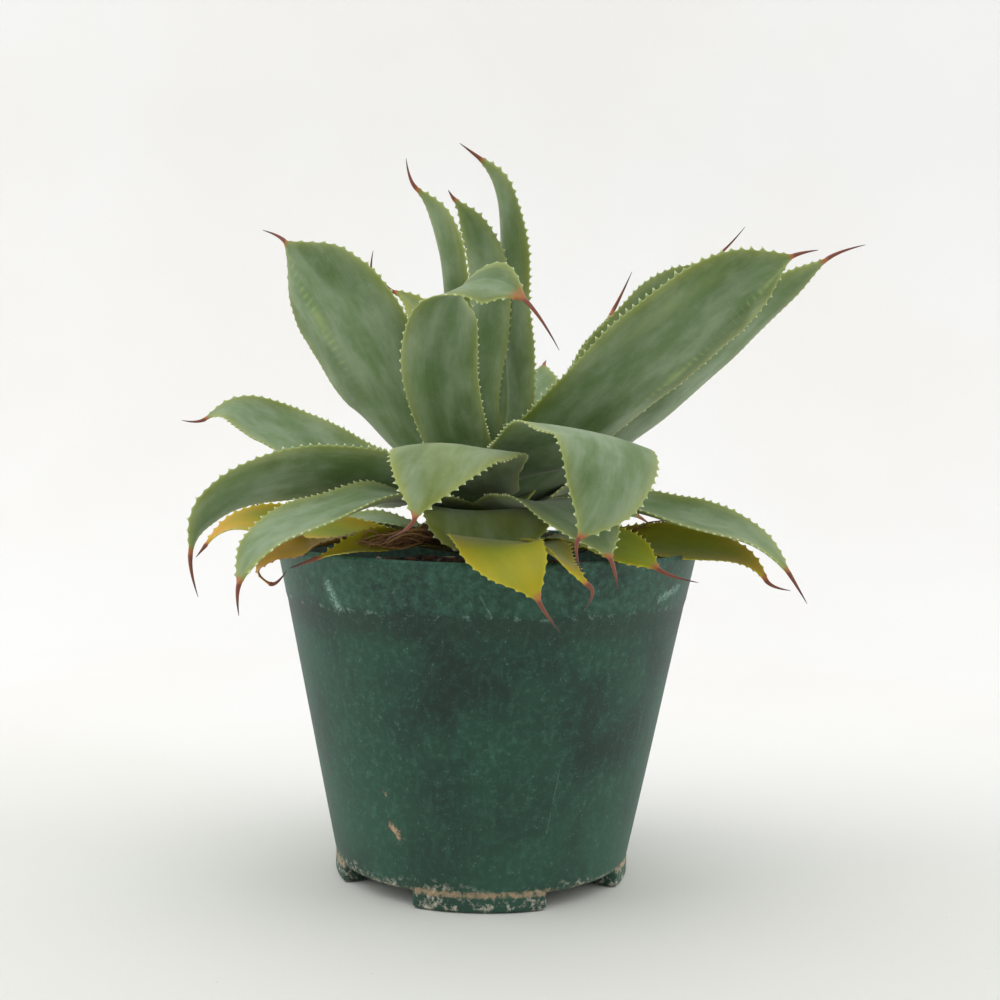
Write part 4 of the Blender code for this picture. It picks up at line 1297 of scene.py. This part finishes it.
        facing = desk.maths("DIVIDE", desk.maths("MAXIMUM", *spread), self.base_radius)
        desk.skin = look.deep
        desk.coat(look.green, (clouds, 0.30, 0.64))
        desk.coat(look.worn, (mottle, 0.44, 0.72), (clouds, 0.25, 0.7, 0.25, 0.65))
        desk.coat(look.worn, (height, 60.0 * MM, 0.0, 0.0, 0.25))
        desk.coat(look.worn, (rain, 0.55, 0.78, 0.0, 0.30))
        desk.coat(look.soot_and_shade, (runs, 0.56, 0.76, 0.0, 0.28))
        # Painted shade: a dark band just under the collar, laid in the soot colour.
        painted_shade_below_collar = (height, under - 11.0 * MM, under - 4.0 * MM), (height, under + 2.0 * MM, under - 0.5 * MM)
        desk.coat(look.soot_and_shade, *painted_shade_below_collar, (clouds, 0.3, 0.7, 0.15, 0.5))
        desk.coat(look.worn, (height, under, under + 3.0 * MM), (mottle, 0.34, 0.66, 0.0, 0.40))
        desk.coat(look.worn, (grain, 0.56, 0.80, 0.0, 0.45))
        desk.coat(look.mint, (flecks, 0.20, 0.08), (mottle, 0.46, 0.62), 0.42)
        desk.coat(look.mint, rubs)
        collar_edge = (height, under - 0.8 * MM, under), (height, under + 1.6 * MM, under + 0.6 * MM)
        desk.coat(look.mint, *collar_edge, (mottle, 0.50, 0.68, 0.0, 0.45))
        desk.coat(look.worn, (height, top - 1.5 * MM, top - 0.2 * MM), (mottle, 0.40, 0.62, 0.1, 0.6))
        desk.coat(look.tan, chips)
        desk.coat(look.lime, crust, 0.85)
        ledge = (height, foot - 0.7 * MM, foot + 0.1 * MM), (height, foot + 2.1 * MM, foot + 1.1 * MM)
        desk.coat(look.tan, *ledge, (facing, 0.88, 0.91, 0.12, 0.9), (mottle, 0.40, 0.54, 0.1, 1.0))
        rough = desk.maths("ADD", desk.ease(mottle, 0.3, 0.7, 0.50, 0.64), desk.times(rubs, 0.15), clamp=True)
        pits = desk.relief(desk.maths("ADD", mottle, desk.times(grain, 0.7)), 0.22 * MM, 0.5)
        bumps = desk.relief(desk.maths("ADD", crust, desk.times(chips, -1.5)), 0.3 * MM, 0.8, pits)
        bumps = desk.relief(desk.times(rubs, -1.0), 0.1 * MM, 0.6, bumps)
        return desk.finish(rough, bumps, Specular_IOR_Level=0.35, Sheen_Weight=0.05, Sheen_Roughness=0.45)

    def build(self) -> bpy.types.Object:
        """Builds the pot and puts it in its CAD node's place.

        Returns:
            The pot.
        """
        sheet = self.wall_surface()
        for bearing, span in self.foot_spans:
            sheet = sheet.with_other(self.foot_surface(bearing, span))
        return place_piece(mesh_piece("pot_looks", sheet, self.material()), "pot")


# ---------------------------------------------------------------- soil and stem


@dataclass
class PottingMix:
    """The crowned potting mix: a rough ground with bark, pumice and grit lying on it."""

    axis: Vector
    level: float
    radius: float
    bottom: float
    taper: float = 0.2
    crown: float = 3.0 * MM
    grains: int = 1900

    def ground_height(self, radius: Array, bearing: Array) -> Array:
        """The ground's height: a crown towards the stem, low ridges and fine lumps."""
        share = radius / self.radius
        ridges = 0.25 * self.crown * np.sin(3 * bearing + 1.0) * np.sin(math.pi * share)
        lumps = 0.5 * MM * np.sin(9 * bearing + 20 * share) * np.cos(31 * share + 4 * bearing) * share
        return self.level + self.crown * (1 - share**2) + ridges + lumps - 0.4 * MM

    def ground(self, rng: np.random.Generator) -> Sheet:
        """The body of the mix: a disc of rings with a rough top, closed by a skirt and a flat underside.

        Args:
            rng: where the random numbers come from.

        Returns:
            The closed surface.
        """
        around = 160
        bearing = np.linspace(0, math.tau, around, endpoint=False)[None, :]
        rings = np.linspace(1, 0.02, 60)[:, None] * self.radius
        top = self.ground_height(rings, bearing) + 0.35 * MM * rng.standard_normal((60, around))
        fall = self.level - self.bottom
        below = np.array([[fall], [fall / 2]])
        radius = np.concatenate([self.radius - self.taper * below, rings]) + 0 * bearing
        z = np.concatenate([self.level - below + 0 * bearing, top])
        points = np.stack([radius * np.cos(bearing), radius * np.sin(bearing), z], -1)
        points = points + np.array((self.axis.x, self.axis.y, 0.0))
        return capped_tube(points, {"kind": np.broadcast_to((0.2, 0.0, 0.0), points.shape)})

    def chips(self, rng: np.random.Generator) -> Sheet:
        """Crumbs scattered over the ground: stretched, turned and jittered twenty-sided solids.

        Args:
            rng: where the random numbers come from.

        Returns:
            All crumbs as one surface.
        """
        golden = (1 + math.sqrt(5)) / 2
        corner = np.array([
            (-1, golden, 0), (1, golden, 0), (-1, -golden, 0), (1, -golden, 0), (0, -1, golden), (0, 1, golden),
            (0, -1, -golden), (0, 1, -golden), (golden, 0, -1), (golden, 0, 1), (-golden, 0, -1), (-golden, 0, 1),
        ], float) / math.hypot(1, golden)
        sides = np.array([
            (0, 11, 5), (0, 5, 1), (0, 1, 7), (0, 7, 10), (0, 10, 11), (1, 5, 9), (5, 11, 4), (11, 10, 2), (10, 7, 6),
            (7, 1, 8), (3, 9, 4), (3, 4, 2), (3, 2, 6), (3, 6, 8), (3, 8, 9), (4, 9, 5), (2, 4, 11), (6, 2, 10),
            (8, 6, 7), (9, 8, 1),
        ])
        count = self.grains
        size = 0.45 * MM + 1.5 * MM * rng.random(count) ** 3.0
        stretch = np.stack([rng.uniform(*span, count) for span in ((0.9, 2.1), (0.6, 1.1), (0.4, 0.9))], -1)
        local = corner[None] * (1 + 0.22 * rng.standard_normal((count, 12, 1))) * (stretch * size[:, None])[:, None]
        spin, tilt = rng.uniform(0, math.tau, count), rng.normal(0, 0.5, count)
        c, s, ct, st = np.cos(spin), np.sin(spin), np.cos(tilt), np.sin(tilt)
        zero = np.zeros(count)
        turn = np.array([[c, -s * ct, s * st], [s, c * ct, -c * st], [zero, st, ct]])
        local = np.einsum("ijn,nkj->nki", turn, local)
        radius = (self.radius - 2.0 * MM) * np.sqrt(rng.uniform(0.015, 1, count))
        bearing = rng.uniform(0, math.tau, count)
        z = self.ground_height(radius, bearing) + 0.2 * size
        centre = np.stack([self.axis.x + radius * np.cos(bearing), self.axis.y + radius * np.sin(bearing), z], -1)
        points = (local + centre[:, None]).reshape(-1, 3)
        faces = (sides[None] + 12 * np.arange(count)[:, None, None]).reshape(-1, 3)
        kind = np.repeat(np.stack([rng.random(count), rng.random(count), zero], -1), 12, axis=0)
        return Sheet(points, [faces], {"kind": kind})

    def material(self) -> bpy.types.Material:
        """Dark crumbly mix: near-black peat, red-brown bark and a few pale grits, by each crumb's own number.

        Returns:
            The material.
        """
        desk = ShaderDesk("potting_mix")
        kind, shade, _ = desk.value_of("kind")
        coarse = desk.noise(desk.place, 300.0, 5.0, 0.7)
        fine = desk.noise(desk.place, 1600.0, 4.0, 0.7)
        desk.skin = colour(30, 23, 18)
        desk.coat(colour(66, 48, 34), (coarse, 0.35, 0.68))
        desk.coat(colour(104, 62, 40), (kind, 0.45, 0.60))
        desk.coat(colour(74, 60, 48), (kind, 0.80, 0.86))
        desk.coat(colour(176, 160, 134), (kind, 0.945, 0.955))
        desk.coat(colour(24, 19, 16), (shade, 0.0, 1.0, 0.0, 0.35))
        desk.coat(colour(128, 104, 78), (fine, 0.52, 0.78, 0.0, 0.4))
        bumps = desk.relief(desk.maths("ADD", coarse, fine), 0.6 * MM, 0.8)
        return desk.finish(desk.ease(fine, 0.3, 0.7, 0.82, 0.98), bumps, Specular_IOR_Level=0.3)

    def build(self) -> bpy.types.Object:
        """Builds the mix and puts it in its CAD node's place.

        Returns:
            The potting mix.
        """
        rng = np.random.default_rng(21)
        sheet = self.ground(rng).with_other(self.chips(rng))
        return place_piece(mesh_piece("soil_looks", sheet, self.material()), "soil")


@dataclass
class Stem:
    """The short stem: a tapered column ringed by the scars of fallen leaves."""

    low: Vector
    high: Vector
    foot_radius: float = 9.0 * MM
    top_radius: float = 4.5 * MM

    def surface(self) -> Sheet:
        """A column whose radius narrows with height, with a sawtooth of leaf scars that winds round it.

        Returns:
            The closed surface.
        """
        rows, around = 110, 72
        share = np.linspace(0, 1, rows)[:, None]
        bearing = np.linspace(0, math.tau, around, endpoint=False)[None, :]
        scars = (share * 15 + bearing / math.tau * 2) % 1.0
        radius = self.foot_radius + (self.top_radius - self.foot_radius) * share
        radius = radius - 0.5 * MM + 0.7 * MM * scars**2 + 0.2 * MM * np.sin(11 * bearing + 9 * share)
        centre = (self.low + self.high) / 2
        z = self.low.z + (self.high.z - self.low.z) * share + 0 * bearing
        points = np.stack([centre.x + radius * np.cos(bearing), centre.y + radius * np.sin(bearing), z], -1)
        return capped_tube(points)

    def material(self) -> bpy.types.Material:
        """Fibrous olive bark with brown scars.

        Returns:
            The material.
        """
        desk = ShaderDesk("stem_bark")
        fibre = desk.noise(desk.stretched(desk.place, (1.0, 1.0, 0.2)), 900.0, 4.0, 0.65)
        patch = desk.noise(desk.place, 160.0, 4.0, 0.6)
        desk.skin = colour(112, 120, 70)
        desk.coat(colour(96, 72, 46), (patch, 0.35, 0.66))
        desk.coat(colour(160, 140, 98), (fibre, 0.5, 0.75, 0.0, 0.6))
        bumps = desk.relief(desk.maths("ADD", fibre, patch), 0.4 * MM, 0.8)
        return desk.finish(desk.ease(fibre, 0.3, 0.7, 0.7, 0.9), bumps, Specular_IOR_Level=0.3)

    def build(self) -> bpy.types.Object:
        """Builds the stem and puts it in its CAD node's place."""
        return place_piece(mesh_piece("stem_looks", self.surface(), self.material()), "stem")


# ---------------------------------------------------------------- studio


@dataclass(frozen=True)
class Lamp:
    """A square soft light: where it hangs, what it looks at, its side in metres and its power in watts."""

    name: str
    place: Triple
    aim: Triple
    size: float
    power: float


@dataclass
class Studio:
    """A pale sweep, soft lights and the camera."""

    pot_axis: Vector
    air: float = 0.41
    lamps: Tuple[Lamp, ...] = (
        Lamp("overhead", (-0.1, 0.0, 1.4), (0.0, 0.0, 0.1), 2.0, 12.5),
        Lamp("left_window", (-1.3, -0.2, 0.75), (0.0, 0.0, 0.12), 1.3, 9.0),
        Lamp("right_window", (1.3, -0.1, 0.7), (0.0, 0.0, 0.12), 1.3, 8.0),
        Lamp("backdrop_wash", (0.1, -0.1, 1.6), (0.1, 0.85, 0.5), 1.2, 0.5),
    )
    camera_offset: Triple = (4.1 * MM, -501.6 * MM, 158.8 * MM)
    pitch: float = 0.0522
    yaw: float = 0.0005
    roll: float = 0.0189
    lens: float = 50.4
    floor_half: float = 1.6
    wall_at: float = 0.85
    wall_height: float = 1.5
    bend: float = 0.45

    def sweep(self) -> bpy.types.Object:
        """A floor that curves up into a wall behind: the profile is flat, a quarter circle, then upright.

        Returns:
            The sweep.
        """
        flat = np.stack([np.linspace(-self.floor_half, self.wall_at - self.bend, 24), np.zeros(24)], 1)
        turn = np.linspace(0, math.pi / 2, 24)[1:]
        curve = flat[-1] + self.bend * np.stack([np.sin(turn), 1 - np.cos(turn)], 1)
        wall = np.stack([np.full(10, self.wall_at), np.linspace(self.bend, self.wall_height, 11)[1:]], 1)
        profile = np.concatenate([flat, curve, wall])
        x = np.linspace(-self.floor_half, self.floor_half, 40)
        grid = np.stack(np.broadcast_arrays(x[None, :], profile[:, :1], profile[:, 1:]), -1)
        rows, columns = grid.shape[:2]
        row, column = np.arange(rows - 1)[:, None], np.arange(columns - 1)[None, :]
        first = row * columns + column
        faces = np.stack([first, first + 1, first + columns + 1, first + columns], -1).reshape(-1, 4)
        desk = ShaderDesk("paper_sweep")
        clouds = desk.noise(desk.place, 3.0, 3.0, 0.5)
        dust = desk.ease(desk.cells(desk.place, 60.0, rings=True), 0.035, 0.015, 0.0, 0.18)
        split = desk.add("ShaderNodeSeparateXYZ")
        desk.feed(split.inputs[0], desk.place)
        desk.skin = (0.84, 0.84, 0.835)
        desk.coat((0.82, 0.81, 0.785), (clouds, 0.3, 0.7))
        # Painted shade: the floor turns greyer towards the front, standing in for less light reaching it there.
        desk.coat((0.74, 0.75, 0.70), (split.outputs[1], 0.35, -0.15, 0.0, 0.75))
        desk.coat((0.35, 0.30, 0.24), dust)
        fibre = desk.relief(desk.noise(desk.place, 900.0, 3.0, 0.6), 0.2 * MM, 0.3)
        finish = desk.finish(desk.ease(clouds, 0.3, 0.7, 0.75, 0.9), fibre, Specular_IOR_Level=0.15)
        floor = mesh_piece("paper_sweep", Sheet(grid.reshape(-1, 3) - np.array((0, 0, 0.2 * MM)), [faces]), finish)
        return floor

    def hang(self, lamp: Lamp) -> None:
        """Puts a lamp into the scene and turns it to what it looks at."""
        data = bpy.data.lights.new(lamp.name, "AREA")
        data.shape, data.size, data.energy, data.color = "SQUARE", lamp.size, lamp.power, (1.0, 1.0, 1.0)
        light = bpy.data.objects.new(lamp.name, data)
        light.location = lamp.place
        light.rotation_euler = (Vector(lamp.aim) - Vector(lamp.place)).to_track_quat("-Z", "Y").to_euler()
        bpy.context.scene.collection.objects.link(light)

    def lights(self) -> None:
        """A bright surround with large soft lights above and at both sides."""
        world = bpy.data.worlds.new("studio_air")
        world.use_nodes = True
        background = world.node_tree.nodes["Background"]
        background.inputs["Color"].default_value = (1.0, 1.0, 1.0, 1.0)
        background.inputs["Strength"].default_value = self.air
        bpy.context.scene.world = world
        for lamp in self.lamps:
            self.hang(lamp)

    def camera(self) -> bpy.types.Object:
        """The camera: a little above the leaves, tipped down and rolled by small angles.

        Returns:
            The camera.
        """
        flat = math.cos(self.pitch)
        ahead = Vector((math.sin(self.yaw) * flat, math.cos(self.yaw) * flat, -math.sin(self.pitch)))
        level = Vector((math.cos(self.yaw), -math.sin(self.yaw), 0.0))
        above = level.cross(ahead)
        right = math.cos(self.roll) * level + math.sin(self.roll) * above
        up = math.cos(self.roll) * above - math.sin(self.roll) * level
        data = bpy.data.cameras.new("studio_camera")
        data.lens, data.sensor_width, data.clip_start = self.lens, 36.0, 0.01
        camera = bpy.data.objects.new("studio_camera", data)
        turned = Matrix((right, up, -ahead)).transposed().to_4x4()
        turned.translation = self.pot_axis + Vector(self.camera_offset)
        camera.matrix_world = turned
        bpy.context.scene.collection.objects.link(camera)
        bpy.context.scene.camera = camera
        return camera

    def build(self) -> None:
        """Sets up the sweep, the lights, the camera and plain colour handling."""
        self.sweep()
        self.lights()
        self.camera()
        bpy.context.scene.view_settings.view_transform = "Standard"


def main() -> None:
    """Builds the pot, the mix, the stem and the rosette, then the studio."""
    logging.basicConfig(level=logging.INFO, format="%(message)s")
    pot = NurseryPot(*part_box("pot"))
    rim = pot.axis + Vector((0.0, 0.0, pot.height))
    soil_low, soil_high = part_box("soil")
    level = pot.height - 12.0 * MM
    taper = (pot.rim_radius - pot.base_radius) / (pot.height - pot.foot_height)
    mix = PottingMix(pot.axis, level, float(pot.inner(np.array(level))) - 0.8 * MM, soil_low.z, taper)
    pieces = [pot.build(), mix.build(), Stem(*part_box("stem")).build()]
    pieces += Rosette(rim, OLD_LEAVES + OUTER_LEAVES + BACK_LEAVES + INNER_LEAVES).build()
    for piece in pieces:
        log.info("%s: %d faces", piece.name, len(piece.data.polygons))
    log.info("all pieces: %d triangles", sum(len(p.vertices) - 2 for o in pieces for p in o.data.polygons))
    Studio(pot.axis).build()


if __name__ == "__main__":
    main()
